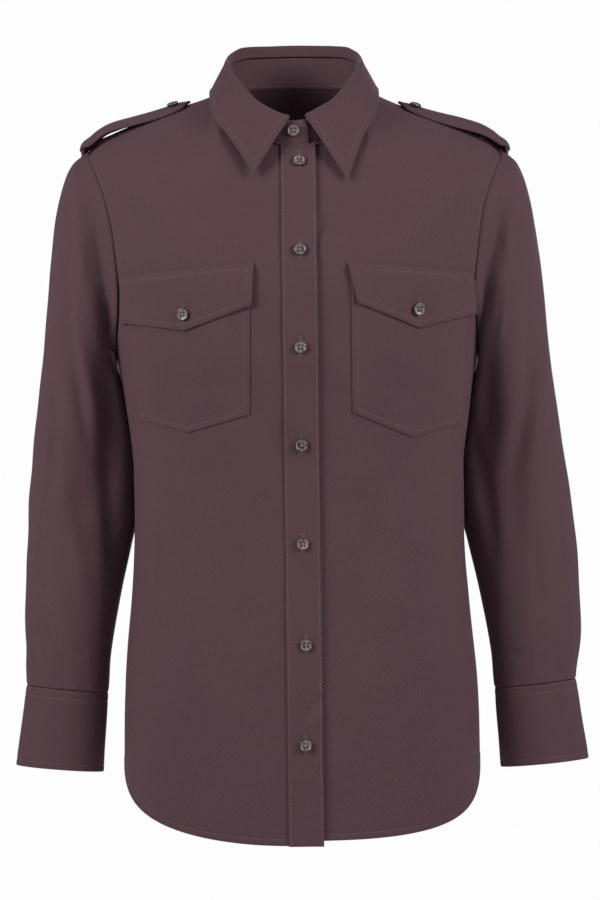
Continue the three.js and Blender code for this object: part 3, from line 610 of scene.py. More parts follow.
@dataclass(frozen=True)
class Horn:
    """Polished imitation horn, cast polyester: clouded brown and smoke, glossy rim, slight depth, and painted
    shade that darkens the outer rim and the upright walls.
    """

    name: str = "polished_horn"
    light: str = "#a39590"
    dark: str = "#2c2322"
    # The colour of the painted shade on the button's outer rim and upright walls, where the real edge and
    # holes fall into shadow
    edge: str = "#1e1716"

    def material(self) -> bpy.types.Material:
        """Builds the finish, with streaks some millimetres long as in cast horn, and painted shade on the
        marked rim and wall faces.
        """
        material, tree = new_material(self.name)
        place = add_node(tree, "ShaderNodeTexCoord", {}, {}).outputs["Object"]
        stretched = add_node(tree, "ShaderNodeMapping", {}, {
            "Vector": place, "Scale": (420, 420, 190), "Rotation": (0.3, 0.2, 0.5),
        }).outputs["Vector"]
        cloud = add_node(tree, "ShaderNodeTexNoise", {}, {
            "Vector": stretched, "Scale": 1.0, "Detail": 5.0, "Roughness": 0.6, "Distortion": 0.8,
        }).outputs["Fac"]
        contrast = add_node(tree, "ShaderNodeMapRange", {}, {
            "Value": cloud, "From Min": 0.3, "From Max": 0.7,
        })
        colour = add_node(tree, "ShaderNodeMix", {"data_type": "RGBA"}, {
            0: contrast.outputs["Result"], 6: linear(self.dark), 7: linear(self.light),
        }).outputs[2]
        # Painted shade: faces marked on the outer rim and upright walls are mixed most of the way to the dark
        # shade colour
        turned = add_node(tree, "ShaderNodeAttribute", {"attribute_name": "painted_shade_rim"}, {}).outputs["Fac"]
        colour = add_node(tree, "ShaderNodeMix", {"data_type": "RGBA"}, {
            0: turned, 6: colour, 7: linear(self.edge),
        }).outputs[2]
        roughness = add_node(tree, "ShaderNodeMapRange", {}, {
            "Value": cloud, "To Min": 0.14, "To Max": 0.3,
        }).outputs["Result"]
        normal = add_node(tree, "ShaderNodeBump", {}, {
            "Height": cloud, "Strength": 0.08, "Distance": 0.0002,
        }).outputs["Normal"]
        shader = add_node(tree, "ShaderNodeBsdfPrincipled", {}, {
            "Base Color": colour, "Roughness": roughness, "Normal": normal, "IOR": 1.55,
            "Coat Weight": 0.35, "Coat Roughness": 0.12,
        })
        add_node(tree, "ShaderNodeOutputMaterial", {}, {"Surface": shader.outputs[0]})
        return material


@dataclass(frozen=True)
class StudioPaint:
    """Matt white emulsion on the studio floor: even, with a trace of roller texture."""

    name: str = "studio_emulsion"
    colour: str = "#f4f3f1"

    def material(self) -> bpy.types.Material:
        """Builds the finish."""
        material, tree = new_material(self.name)
        place = add_node(tree, "ShaderNodeTexCoord", {}, {}).outputs["Object"]
        roller = add_node(tree, "ShaderNodeTexNoise", {}, {"Vector": place, "Scale": 300.0}).outputs["Fac"]
        normal = add_node(tree, "ShaderNodeBump", {}, {
            "Height": roller, "Strength": 0.05, "Distance": 0.0005,
        }).outputs["Normal"]
        shader = add_node(tree, "ShaderNodeBsdfPrincipled", {}, {
            "Base Color": linear(self.colour), "Roughness": 0.9, "Normal": normal,
        })
        add_node(tree, "ShaderNodeOutputMaterial", {}, {"Surface": shader.outputs[0]})
        return material


@dataclass(frozen=True)
class Finishes:
    """The shirt's materials, made once."""

    twill: bpy.types.Material
    thread: bpy.types.Material
    horn: bpy.types.Material


# Body

BODY = [(-735, 170, 108, 100), (-640, 170.5, 108, 100), (-565, 168.5, 107, 97), (-488, 162, 105, 91),
        (-420, 158.2, 104, 86), (-363, 158, 106, 86), (-295, 166, 112, 92), (-250, 173, 117, 98),
        (-200, 182, 117, 103), (-160, 193, 111, 105), (-120, 203, 99, 103), (-80, 214, 84, 98)]
BODY_SIDE, BODY_FRONT, BODY_BACK = (Curve([(row[0], row[i]) for row in BODY]) for i in (1, 2, 3))
SHOULDER_HEIGHT = Curve([
    (67.5, 2), (85, -5.5), (110, -13.5), (138.6, -23.5), (175.4, -38.6), (189, -45), (198, -54.5),
])
NECK_HEIGHT = Curve([(0, -58), (30, -47), (60, -20), (90, 2), (120, 5), (150, 8), (180, 9)], flat_ends=True)
SQUARENESS = 2.3


def torso(angle: Array, z: Array) -> Array:
    """Points of the worn form's section; 0 degrees is the front, 90 the side and 180 the back.

    Args:
        angle: Degrees round the body.
        z: The height.

    Returns:
        The points.
    """
    sine, cosine = np.sin(np.radians(angle)), np.cos(np.radians(angle))
    reach = (np.abs(sine) ** SQUARENESS + np.abs(cosine) ** SQUARENESS) ** (-1 / SQUARENESS)
    depth = np.where(cosine > 0, BODY_FRONT(z), BODY_BACK(z))
    return np.stack([reach * sine * BODY_SIDE(z), -reach * cosine * depth, z], axis=-1)


@dataclass(frozen=True)
class Oval:
    """An oval round the neck."""

    half_width: float
    front: float
    back: float

    def at(self, angle: Array, z: Array) -> Array:
        """A point of the oval; 0 degrees is the centre front.

        Args:
            angle: Degrees round the neck.
            z: The height.

        Returns:
            The points.
        """
        cosine = np.cos(np.radians(angle))
        y = -cosine * np.where(cosine > 0, self.front, self.back)
        return np.stack(np.broadcast_arrays(self.half_width * np.sin(np.radians(angle)), y, z), axis=-1)


NECK = Oval(67.5, 70, 62)
STAND_TOP = Oval(61, 71, 66)


def folded(angle: Array) -> Array:
    """An angle round the neck, folded to the half from 0 at the front to 180 at the back."""
    turned = np.mod(angle, 360)
    return np.where(turned > 180, 360 - turned, turned)


def neckline(angle: Array) -> Array:
    """Points of the neck seam."""
    return NECK.at(angle, NECK_HEIGHT(folded(angle)))


def shoulder_drop(x: Array, side: int) -> Array:
    """How much lower the wearer's left shoulder is."""
    return 3.5 * smoothstep(x, NECK.half_width, 110) if side > 0 else 0 * x


@dataclass(frozen=True)
class Hemline:
    """A curved hem: its height at the centre, and how sharply it rises to the side seam."""

    centre: float
    curve: float


@dataclass
class Panels:
    """The two fronts and the back, on one worn form."""

    cloth: float = 1.0
    hem_side: float = -640
    right_hem: Hemline = Hemline(-714, 2.1)
    left_hem: Hemline = Hemline(-709.5, 3)
    back_hem: Hemline = Hemline(-714, 2.4)
    columns: float = 15
    neck_columns: float = 7
    low_rows: float = 14
    middle_rows: float = 6
    high_rows: float = 4
    chest: float = -120
    underarm_side: float = -250
    underarm_centre: float = -276
    armhole_inset: float = 33
    shoulder_tip: float = 198
    bow: float = 1.1
    middle: tuple[float, float, float] = (0, 0, -330)

    @property
    def rows(self) -> float:
        """Rows from the hem to the neck."""
        return self.low_rows + self.middle_rows + self.high_rows

    def top(self, column: Array, face: Face, side: int, centre_x: float) -> tuple[Array, Array]:
        """The neckline or shoulder seam that a column ends on, and how steeply it gets there.

        Args:
            column: Columns out from the centre.
            face: Front or back.
            side: 1 for the wearer's left half and -1 for the right.
            centre_x: Where the panel's centre edge is.

        Returns:
            The points, and the steepness in degrees.
        """
        front = face is Face.FRONT
        neck_step = 90 / self.neck_columns
        centre = math.degrees(math.asin(centre_x / NECK.half_width))
        angle = np.where(column < 1, lerp(centre, neck_step, column), column * neck_step)
        angle = np.minimum(angle, 90)
        at_neck = neckline(angle if front else 180 - angle)
        share = np.clip((column - self.neck_columns) / (self.columns - self.neck_columns), 0, 1)
        x = lerp(NECK.half_width, self.shoulder_tip, share)
        at_shoulder = np.stack([x, np.zeros_like(x), SHOULDER_HEIGHT(x) - shoulder_drop(x, side)], axis=-1)
        on_neck = column <= self.neck_columns
        at = np.where(on_neck[..., None], at_neck, at_shoulder)
        steepest, least = (60, 18) if front else (50, 0)
        steepness = np.where(on_neck, steepest * np.cos(np.radians(angle)), 0)
        return at, np.maximum(steepness, least)

    def point(self, row: Array, column: Array, face: Face, side: int, centre_x: float, hem: Hemline) -> Array:
        """Points of one half of a panel, as if it were the wearer's left half.

        Args:
            row: Rows up from the hem.
            column: Columns out from the centre.
            face: Front or back.
            side: 1 for the wearer's left half and -1 for the right.
            centre_x: Where the panel's centre edge is.
            hem: Its hemline.

        Returns:
            The points.
        """
        row, column = np.broadcast_arrays(row, column)
        across = column / self.columns

        def on_form(edge_angle: Array, z: Array) -> Array:
            centre = np.degrees(np.arctan(centre_x / BODY_SIDE(z)))
            angle = lerp(centre, edge_angle, across)
            return torso(angle if face is Face.FRONT else 180 - angle, z)

        hem_z = lerp(hem.centre, self.hem_side, across**hem.curve)
        underarm = lerp(self.underarm_centre, self.underarm_side, across)
        low = on_form(90, lerp(hem_z, underarm, row / self.low_rows))
        middle = np.clip((row - self.low_rows) / self.middle_rows, 0, 1)
        turn = middle * math.pi / 2
        edge_z = lerp(self.chest, self.underarm_side, np.cos(turn))
        z = lerp(lerp(self.underarm_centre, self.chest, middle), edge_z, across)
        mid = on_form(90 - self.armhole_inset * np.sin(turn), z)
        edge_angle = np.full_like(across, 90 - self.armhole_inset)
        start = on_form(edge_angle, np.full_like(across, self.chest))
        upwards = unit(on_form(edge_angle, np.full_like(across, self.chest + 1)) - start)
        top, steepness = self.top(column, face, side, centre_x)
        chord = np.linalg.norm(top - start, axis=-1, keepdims=True) * self.bow
        slope = np.radians(steepness)
        backwards = -face.value * np.cos(slope)
        trail = np.stack([np.zeros_like(slope), backwards, np.sin(slope)], axis=-1)
        t = np.clip((row - self.low_rows - self.middle_rows) / self.high_rows, 0, 1)[..., None]
        high = lerp(start, top, t * t * (3 - 2 * t)) + chord * t * (1 - t) * ((1 - t) * upwards - t * trail)
        row = row[..., None]
        below_chest = np.where(row <= self.low_rows, low, mid)
        return np.where(row <= self.low_rows + self.middle_rows, below_chest, high)

    def row_marks(self) -> Array:
        """Rows, close together at the hem and at the top edge."""
        return stations(self.rows, 0.112, (0, 0.3, 0.033), (self.rows - 0.12, self.rows, 0.03))

    def column_marks(self) -> Array:
        """Columns, close together at the side seam and armhole."""
        return stations(self.columns, 0.15, (self.columns - 0.24, self.columns, 0.05))

    def front(self, side: int, centre_x: float) -> Cloth:
        """One front panel; side is 1 for the wearer's left and -1 for the right.

        Args:
            side: 1 for the wearer's left and -1 for the right.
            centre_x: Where its centre edge is.

        Returns:
            Its cloth.
        """
        hem = self.left_hem if side > 0 else self.right_hem
        rows, columns = self.row_marks()[:, None], self.column_marks()[None]
        points = self.point(rows, columns, Face.FRONT, side, side * centre_x, hem) * (side, 1, 1)
        return Cloth(points, self.cloth, points - self.middle)

    def back(self) -> Cloth:
        """The back panel, from the wearer's right side seam to the left one.

        Returns:
            Its cloth.
        """
        rows, columns = self.row_marks()[:, None], self.column_marks()[None]
        right, left = (self.point(rows, columns, Face.BACK, side, 0, self.back_hem) for side in (-1, 1))
        points = np.concatenate([right[:, :0:-1] * (-1, 1, 1), left], axis=1)
        return Cloth(points, self.cloth, points - self.middle)

    def armhole(self, angle: Array, side: int) -> Array:
        """Points of a side's armhole seam, as if on the wearer's left; 0 degrees is on top, 90 the front.

        Args:
            angle: Degrees round the sleeve.
            side: 1 for the wearer's left.

        Returns:
            The points.
        """
        seam_rows = self.middle_rows + self.high_rows
        step = angle / (180 / seam_rows)
        row = self.rows - np.minimum(step, 2 * seam_rows - step)
        column = np.full_like(row, self.columns)
        halves = [self.point(row, column, face, side, 0, self.back_hem) for face in Face]
        return np.where((step <= seam_rows)[..., None], *halves)

    def armhole_start(self) -> int:
        """The row of a panel's grid where its armhole starts."""
        return int(np.searchsorted(self.row_marks(), self.low_rows))


FRONT_CREASES = [
    Crease(((38, -118), (29, -145), (21.5, -172)), 1.6, 4.5),
    Crease(((30, -118), (24, -146)), -1.0, 3),
    Crease(((38.7, -92.6), (33, -115), (25, -150)), -1.1, 7),
    Crease(((158, -100), (149, -132), (137, -158)), -1.3, 9),
    Crease(((168, -112), (161, -140), (152, -168)), 1.1, 8),
    Crease(((-75, -32), (-84, -46), (-90, -66)), -0.9, 6),
    Crease(((-158, -102), (-147, -138), (-132, -165)), -1.0, 9),
    Crease(((-137, -380), (-139.4, -434), (-141, -485), (-143, -530)), 1.4, 5),
    Crease(((-128, -400), (-131, -450), (-131, -505)), -1.0, 7),
    Crease(((-122, -345), (-100, -368), (-72, -364)), -0.8, 9),
    Crease(((-60, -345), (-62, -420), (-52, -520)), 0.9, 16),
    Crease(((-95, -420), (-100, -520), (-92, -640)), 0.9, 18),
    Crease(((-35, -470), (-40, -560), (-30, -660)), -0.8, 14),
    Crease(((91, -350), (97, -440), (82, -530)), 1.1, 16),
    Crease(((58, -400), (60, -500), (50, -600)), -0.9, 15),
    Crease(((27, -560), (40, -620), (32, -680)), 0.8, 12),
    Crease(((130, -430), (136, -520), (128, -600)), -1.0, 14),
    Crease(((112, -345), (134, -372), (150, -380)), -0.9, 9),
]
BACK_CREASES = [
    Crease(((-150, -95), (-128, -140), (-98, -185)), -1.6, 11, Face.BACK),
    Crease(((-160, -120), (-146, -165), (-128, -215)), 1.6, 9, Face.BACK),
    Crease(((152, -98), (131, -145), (104, -196)), -1.5, 11, Face.BACK),
    Crease(((161, -126), (149, -168), (133, -208)), 1.4, 9, Face.BACK),
    Crease(((-40, -20), (-46, -60), (-58, -110)), -0.9, 10, Face.BACK),
    Crease(((44, -24), (50, -68), (64, -118)), -0.9, 10, Face.BACK),
    Crease(((-108, -330), (-70, -356), (-22, -362)), -1.7, 10, Face.BACK),
    Crease(((-118, -352), (-76, -382), (-30, -390)), 1.3, 9, Face.BACK),
    Crease(((104, -344), (62, -372), (26, -378)), -1.6, 10, Face.BACK),
    Crease(((120, -370), (84, -398), (44, -406)), 1.2, 9, Face.BACK),
    Crease(((-66, -420), (-70, -520), (-60, -660)), 1.5, 17, Face.BACK),
    Crease(((-22, -430), (-26, -540), (-18, -690)), -1.3, 15, Face.BACK),
    Crease(((30, -430), (36, -545), (28, -680)), 1.3, 16, Face.BACK),
    Crease(((84, -440), (92, -550), (84, -650)), -1.2, 16, Face.BACK),
    Crease(((128, -420), (134, -500), (130, -600)), 1.2, 12, Face.BACK),
    Crease(((-124, -430), (-130, -520), (-128, -610)), -1.3, 13, Face.BACK),
]


# Sleeves

@dataclass(frozen=True)
class RoundFold:
    """A large fold of a sleeve, by its place along the sleeve and angle round it."""

    t: float
    angle: float
    length: float
    width: float
    slant: float
    depth: float


@dataclass
class Sleeve:
    """A sleeve with its cuff and sleeve placket; 0 degrees is the outer side and 90 the front."""

    side: int
    panels: Panels
    folds: list[RoundFold]
    creases: list[Crease]
    cloth: float = 1.0
    cuff_cloth: float = 1.7
    placket_cloth: float = 1.2
    placket_stitch: float = 1.7
    head: float = 0.3
    # The sleeve's solid has 22 rows and a column every 18 degrees; the placket is placed by them
    solid_rows: int = 22
    solid_column: float = 18
    table: tuple = (
        (0, 198, -54.5, 173, -250, 62, 0), (0.038, 213, -68, 173, -262, 62, 1),
        (0.094, 223, -95, 170, -272, 62, 4), (0.182, 231.5, -140, 166.3, -290, 61, 10),
        (0.297, 238, -200, 160, -320, 58, 19), (0.408, 244, -258, 155, -355, 55, 26),
        (0.529, 252, -320, 154.8, -395, 52, 27), (0.667, 260.5, -392, 161.5, -435, 49, 22),
        (0.778, 265.5, -450, 170, -478, 45, 14), (0.893, 267, -510, 178.5, -525, 39, 5),
        (1, 263.2, -565.6, 185.2, -573.5, 31.5, 0),
    )
    cuff_table: tuple = ((263.6, -566.1, 185.4, -574, 30, 0), (274.8, -642.5, 190.5, -650, 28, 0))

    @staticmethod
    def oval(angle: Array, outline: list[Array]) -> Array:
        """Points of a sleeve's section from its outer and inner edge, half depth and place back.

        Args:
            angle: Degrees round the sleeve.
            outline: The six measures of the section.

        Returns:
            The points.
        """
        outer_x, outer_z, inner_x, inner_z, depth, back = outline
        share = (1 + np.cos(np.radians(angle))) / 2
        y = back - depth * np.sin(np.radians(angle))
        x, z = lerp(inner_x, outer_x, share), lerp(inner_z, outer_z, share)
        return np.stack(np.broadcast_arrays(x, y, z), axis=-1)

    def points(self, t: Array, angle: Array) -> Array:
        """Points of the sleeve with its large folds.

        Args:
            t: The place down the sleeve, 0 to 1.
            angle: Degrees round it.

        Returns:
            The points.
        """
        outline = [Curve([(row[0], row[i]) for row in self.table])(t) for i in range(1, 7)]
        upper = smoothstep(t, 0, 0.06) * (1 - smoothstep(t, 0.55, 0.8))
        eased = smoothstep(t, 0.55, 0.8) * (1 - smoothstep(t, 0.92, 1))
        outline[0] = outline[0] + (upper * 0.4 + eased * 2.6 if self.side > 0 else upper * 2.2 - eased * 2.6)
        outline[2] = outline[2] + eased * 2
        at = self.oval(angle, outline)
        centre = (self.oval(0, outline) + self.oval(180, outline)) / 2
        free = smoothstep(t, 0, 0.12) * (1 - smoothstep(t, 0.9, 1))
        depth = sum(
            fold.depth * np.exp(-(((t - fold.t) / fold.length) ** 2)
                                - ((angle - fold.angle - fold.slant * (t - fold.t)) / fold.width) ** 2)
            for fold in self.folds
        )
        seam = self.panels.armhole(angle, self.side) - self.oval(angle, list(self.table[0][1:]))
        hold = np.maximum(0, 1 - t / self.head) ** 2
        at = at + unit(at - centre) * (depth * free)[..., None] + seam * hold[..., None]
        return at * (self.side, 1, 1)

    def tube(self) -> Cloth:
        """The sleeve's cloth with its creases.

        Returns:
            The cloth.
        """
        t = stations(1, 0.0056, (0, 0.014, 0.002), (0.992, 1, 0.002))[:, None]
        angle = stations(360, 2.5, (177, 183, 0.75))[:-1][None]
        t, angle = np.broadcast_arrays(t, angle)
        points = self.points(t, angle)
        cloth = Cloth(points, self.cloth, points - points.mean(axis=1, keepdims=True), ring=True)
        hidden = smoothstep(np.abs(angle - 180), 20, 60)
        free = smoothstep(t, 0, 0.05) * (1 - smoothstep(t, 0.95, 1))
        cloth.raised(undulation(points, 0.45, 60, 5 + self.side) * free * hidden)
        heights = sum(crease.heights(cloth.points, cloth.outs) for crease in self.creases)
        cloth.raised(heights * smoothstep(t, 0, 0.03) * (1 - smoothstep(t, 0.985, 1)))
        gathers = np.sin(np.radians(angle) * 15) * 0.35 * bump(1 - t, 0.02) * hidden
        underarm = -0.5 * bump((angle - 180) * 0.9, 1.0)
        ends = cloth.distance(cloth.edge(Edge.FIRST_ROW), cloth.edge(Edge.LAST_ROW))
        cloth.raised(gathers + underarm - 0.6 * bump(ends, 1.0))
        return cloth

    def cuff_point(self, angle: Array, v: Array) -> Array:
        """Points on the cuff's outer face, by the angle round the wrist and the place down the cuff.

        Args:
            angle: Degrees round the wrist.
            v: The place down the cuff, 0 to 1.

        Returns:
            The points.
        """
        outline = [lerp(top, bottom, v) for top, bottom in zip(*self.cuff_table)]
        at = self.oval(angle, outline)
        centre = (self.oval(0, outline) + self.oval(180, outline)) / 2
        lift = 2.5 * smoothstep(angle, 540, 590)
        return (at + unit(at - centre) * lift[..., None]) * (self.side, 1, 1)

    def cuff(self) -> Made:
        """The cuff, a stiff band that laps over at the back, and its stitching.

        Returns:
            The cloth and its lines of stitches.
        """
        angle = (236 + stations(388, 2.6, (0, 12, 1.2), (376, 388, 1.2)))[None]
        v = stations(1, 0.03, (0, 0.15, 0.011), (0.9, 1, 0.011))[:, None]
        angle, v = np.broadcast_arrays(angle, v)
        points = self.cuff_point(angle, v)
        centre = (self.cuff_point(0 * v, v) + self.cuff_point(0 * v + 180, v)) / 2
        cloth = Cloth(points, self.cuff_cloth, points - centre)
        cloth.raised(undulation(points, 0.25, 45, 21 + self.side))
        edges = [cloth.edge(edge) for edge in Edge]
        near = cloth.distance(*edges)
        top = cloth.distance(edges[0])
        groove = 0.3 * (bump(top - 1.4, 0.8) + bump(top - 8.6, 0.8) + bump(near - 5.8, 0.8) * (top > 9))
        cloth.raised(-groove - 0.45 * bump(near, 0.7))
        near = cloth.distance(*[cloth.edge(edge) for edge in Edge])
        top = cloth.distance(cloth.edge(Edge.FIRST_ROW))
        lines = cloth.contour(top, 1.4) + cloth.contour(top, 8.6)
        return cloth, lines + cloth.contour(np.maximum(near, 14.4 - top), 5.8)

    def placket(self) -> Made:
        """The folded strip beside the slit above the cuff, and its stitching.

        Returns:
            The cloth and its lines of stitches.
        """
        row = (stations(3.5, 0.12) + 18.2)[:, None]
        column = (stations(1.2, 0.1) + 13.3)[None]
        t, angle = np.broadcast_arrays((row / self.solid_rows) ** 1.2, column * self.solid_column)
        strip = Cloth(self.points(t, angle), self.placket_cloth, np.array((0, 1, 0)))
        near = strip.distance(*[strip.edge(edge) for edge in Edge])
        strip.raised(self.placket_cloth + 0.6 - 0.4 * bump(near, 0.8))
        return strip, strip.contour(near, self.placket_stitch)


RIGHT_SLEEVE = (
    [RoundFold(0.36, 124, 0.22, 24, -40, -13), RoundFold(0.6, 88, 0.14, 20, 50, -6),
     RoundFold(0.18, 72, 0.14, 22, 0, 3), RoundFold(0.48, 236, 0.2, 24, -30, -7)],
    [
        Crease(((-208.5, -60), (-207.6, -105.7), (-205.2, -142), (-201.9, -180), (-198.4, -212)), 3.2, 4.2),
        Crease(((-197.5, -76), (-190, -142), (-181.2, -194), (-172.2, -237), (-167.2, -294)), -9.2, 11),
        Crease(((-220.3, -125), (-219, -180), (-216.7, -227), (-210.7, -275), (-201.8, -332), (-191, -375)),
               -4.2, 7),
        Crease(((-213.5, -190), (-206.4, -242), (-197.5, -289), (-186.7, -337)), 3.2, 7),
        Crease(((-233.9, -236), (-239.3, -284), (-240.8, -331), (-245.2, -379), (-252.5, -432), (-259, -492)),
               1.1, 2.6),
        Crease(((-231, -262), (-232, -312), (-234, -360), (-240, -410)), -2.0, 6),
        Crease(((-184.6, -322), (-181.4, -370), (-178.3, -427), (-175.1, -480)), -3.6, 9),
        Crease(((-222, -400), (-212, -440), (-208, -492)), 2.2, 8),
        Crease(((-217.6, -529), (-210, -536), (-202.4, -532)), -1.2, 3.5),
        Crease(((-256.4, -512), (-254.8, -538), (-252.1, -562)), -1.4, 3.5, fade=0.2),
        Crease(((-240, -528), (-238, -548), (-236, -566)), 0.9, 4, fade=0.2),
        Crease(((-214, -90), (-212, -150), (-206, -215), (-190, -262)), -2.6, 9, Face.BACK),
        Crease(((-226, -120), (-226, -190), (-222, -250)), 1.8, 6, Face.BACK),
        Crease(((-232, -290), (-214, -318), (-190, -330)), -2.6, 8, Face.BACK),
        Crease(((-238, -318), (-220, -346), (-196, -360)), 2.0, 7, Face.BACK),
        Crease(((-236, -380), (-218, -400), (-190, -404)), -2.0, 8, Face.BACK),
        Crease(((-250, -430), (-242, -480), (-238, -530)), 1.3, 6, Face.BACK),
        Crease(((-212, -440), (-214, -500), (-216, -552)), -1.5, 7, Face.BACK),
        Crease(((-228, -520), (-229, -545), (-230, -568)), -1.5, 4, Face.BACK, 0.2),
        Crease(((-204, -524), (-205, -548), (-206, -570)), -1.2, 3.5, Face.BACK, 0.2),
    ],
)
LEFT_SLEEVE = (
    [RoundFold(0.36, 122, 0.2, 24, -40, -12), RoundFold(0.62, 92, 0.16, 20, 60, -6),
     RoundFold(0.2, 78, 0.14, 22, 0, 3), RoundFold(0.45, 240, 0.2, 24, 30, -7)],
    [
        Crease(((208.2, -66), (208.8, -99), (204.6, -133), (201.4, -158), (198.2, -188)), 3.0, 4.2),
        Crease(((201.2, -92), (194, -139), (184.1, -170), (175.2, -204), (168.1, -245)), -9, 11),
        Crease(((201.1, -176), (196, -213), (191.8, -252)), 1.2, 3),
        Crease(((218, -196), (224.1, -247), (221.7, -290), (211.6, -337), (201.4, -398)), -4.6, 9),
        Crease(((232, -215), (236, -262), (232, -312), (222, -360)), 2.4, 8),
        Crease(((239.9, -268), (245.8, -337), (250, -385), (255, -438), (258.9, -509), (260.1, -568)),
               1.1, 2.6),
        Crease(((171.4, -276), (167, -327), (177.7, -384), (184.6, -441), (189.9, -484)), -3.6, 9),
        Crease(((230, -420), (226, -462), (228, -510)), -2.0, 8),
        Crease(((196.6, -541), (203, -540), (210.2, -536)), -1.2, 3.5),
        Crease(((244, -526), (243, -546), (242, -566)), -1.2, 4, fade=0.2),
        Crease(((224, -530), (223, -550), (222, -570)), 0.9, 4, fade=0.2),
        Crease(((213, -88), (211, -148), (203, -212), (188, -258)), -2.5, 9, Face.BACK),
        Crease(((226, -126), (227, -196), (221, -262)), 1.7, 6, Face.BACK),
        Crease(((234, -300), (215, -326), (190, -340)), -2.5, 8, Face.BACK),
        Crease(((240, -332), (222, -360), (198, -372)), 1.9, 7, Face.BACK),
        Crease(((238, -392), (214, -414), (188, -416)), -1.9, 8, Face.BACK),
        Crease(((251, -436), (244, -486), (240, -534)), 1.2, 6, Face.BACK),
        Crease(((214, -446), (216, -502), (219, -556)), -1.4, 7, Face.BACK),
        Crease(((231, -522), (232, -546), (233, -568)), -1.5, 4, Face.BACK, 0.2),
        Crease(((206, -526), (207, -549), (208, -571)), -1.2, 3.5, Face.BACK, 0.2),
    ],
)


# Pieces that lie on the fronts

class Underlay:
    """The fronts' cloth, that pockets, flaps and the placket are laid on."""

    def __init__(self, *cloths: Cloth) -> None:
        """Gathers the outer faces of the cloths.

        Args:
            cloths: The cloths to lie on.
        """
        vertices, faces, first = [], [], 0
        for cloth in cloths:
            rows, columns = cloth.points.shape[:2]
            vertices.append(cloth.points.reshape(-1, 3))
            corner = (np.arange(rows - 1)[:, None] * columns + np.arange(columns - 1)).ravel() + first
            faces.append(np.stack([corner, corner + 1, corner + columns + 1, corner + columns], axis=1))
            first += rows * columns
        self.tree = BVHTree.FromPolygons(np.concatenate(vertices).tolist(), np.concatenate(faces).tolist())

    def depth(self, x: float, z: float) -> float:
        """How far back the cloth is behind a place of the front view, or beside it past an edge.

        Args:
            x: Across.
            z: Up.

        Returns:
            The cloth's y.
        """
        for step in range(14):
            for aside in (0, 1.3, -1.3):
                hit = self.tree.ray_cast((x + aside, -400, z + step * 1.2), (0, 1, 0), 500)
                if hit[0] is not None:
                    return hit[0].y
        raise ValueError(f"no cloth near {x:.1f}, {z:.1f}")

    def drape(self, x: Array, z: Array) -> Array:
        """Points on the cloth behind places of the front view."""
        y = np.vectorize(self.depth)(x, z)
        return np.stack([x, y, z], axis=-1)


@dataclass(frozen=True)
class Patch:
    """A five-cornered patch, its corners as seen from the front."""

    inner_top: tuple[float, float]
    outer_top: tuple[float, float]
    outer_bottom: tuple[float, float]
    tip: tuple[float, float]
    inner_bottom: tuple[float, float]

    def lay(self, across: Array, drop: Array, under: Underlay) -> Array:
        """Points of the patch on the cloth under it, from its top edge to its pointed bottom edge.

        Args:
            across: Shares of its width.
            drop: Shares of its height.
            under: The cloth it lies on.

        Returns:
            The points.
        """
        corners = [np.array(corner) for corner in (
            self.inner_top, self.outer_top, self.outer_bottom, self.tip, self.inner_bottom)]
        top = lerp(corners[0], corners[1], across[..., None])
        near = lerp(corners[4], corners[3], (across * 2)[..., None])
        far = lerp(corners[3], corners[2], (across * 2 - 1)[..., None])
        spots = lerp(top, np.where((across < 0.5)[..., None], near, far), drop[..., None])
        return under.drape(spots[..., 0], spots[..., 1])


@dataclass
class Pocket:
    """A patch pocket sewn down at its sides and bottom, with a pointed flap over it."""

    pocket: Patch
    flap: Patch
    button: tuple[float, float]
    cloth: float = 1.2
    flap_cloth: float = 1.6
    stitch: float = 5.6
    flap_stitch: float = 5.8

    @staticmethod
    def marks() -> Array:
        """Marks across or down a patch, close together at its edges."""
        return stations(1, 0.025, (0, 0.06, 0.0065), (0.94, 1, 0.0065))

    def bag(self, under: Underlay) -> Made:
        """The pocket and its stitching.

        Args:
            under: The cloth it is sewn on.

        Returns:
            The cloth and its lines of stitches.
        """
        across, drop = np.meshgrid(self.marks(), self.marks())
        base = Cloth(self.pocket.lay(across, drop, under), self.cloth, np.array((0, -1, 0)))
        edges = [base.edge(edge) for edge in (Edge.LAST_ROW, Edge.FIRST_COLUMN, Edge.LAST_COLUMN)]
        sewn = base.distance(*edges)
        loose = 0.8 * smoothstep(sewn, 5, 30)
        fold = -0.35 * bump(sewn - self.stitch, 0.9) - 0.55 * bump(sewn, 0.8)
        waves = undulation(base.points, 0.3, 70, 31) * smoothstep(sewn, 3, 20)
        base.raised(self.cloth + 0.35 + loose + fold + waves)
        return base, base.contour(sewn, self.stitch)

    def cover(self, under: Underlay) -> Made:
        """The flap and its stitching.

        Args:
            under: The cloth it lies on.

        Returns:
            The cloth and its lines of stitches.
        """
        down = stations(1, 0.05, (0, 0.2, 0.018), (0.8, 1, 0.018))
        across, drop = np.meshgrid(self.marks(), down)
        base = Cloth(self.flap.lay(across, drop, under), self.flap_cloth, np.array((0, -1, 0)))
        edges = [base.edge(edge) for edge in Edge]
        near, top = base.distance(*edges), base.distance(edges[0])
        fold = -0.35 * bump(near - self.flap_stitch, 0.9) - 0.6 * bump(near, 0.8)
        x, z = self.button
        pull = -0.9 * bump(np.hypot(base.points[..., 0] - x, base.points[..., 2] - z), 9)
        lift = 0.4 + 2.5 * smoothstep(top, 0.5, 9) + 0.5 * smoothstep(top, 15, 45)
        waves = undulation(base.points, 0.3, 60, 37) * smoothstep(top, 5, 30)
        base.raised(self.flap_cloth + lift + fold + pull + waves)
        return base, base.contour(near, self.flap_stitch)


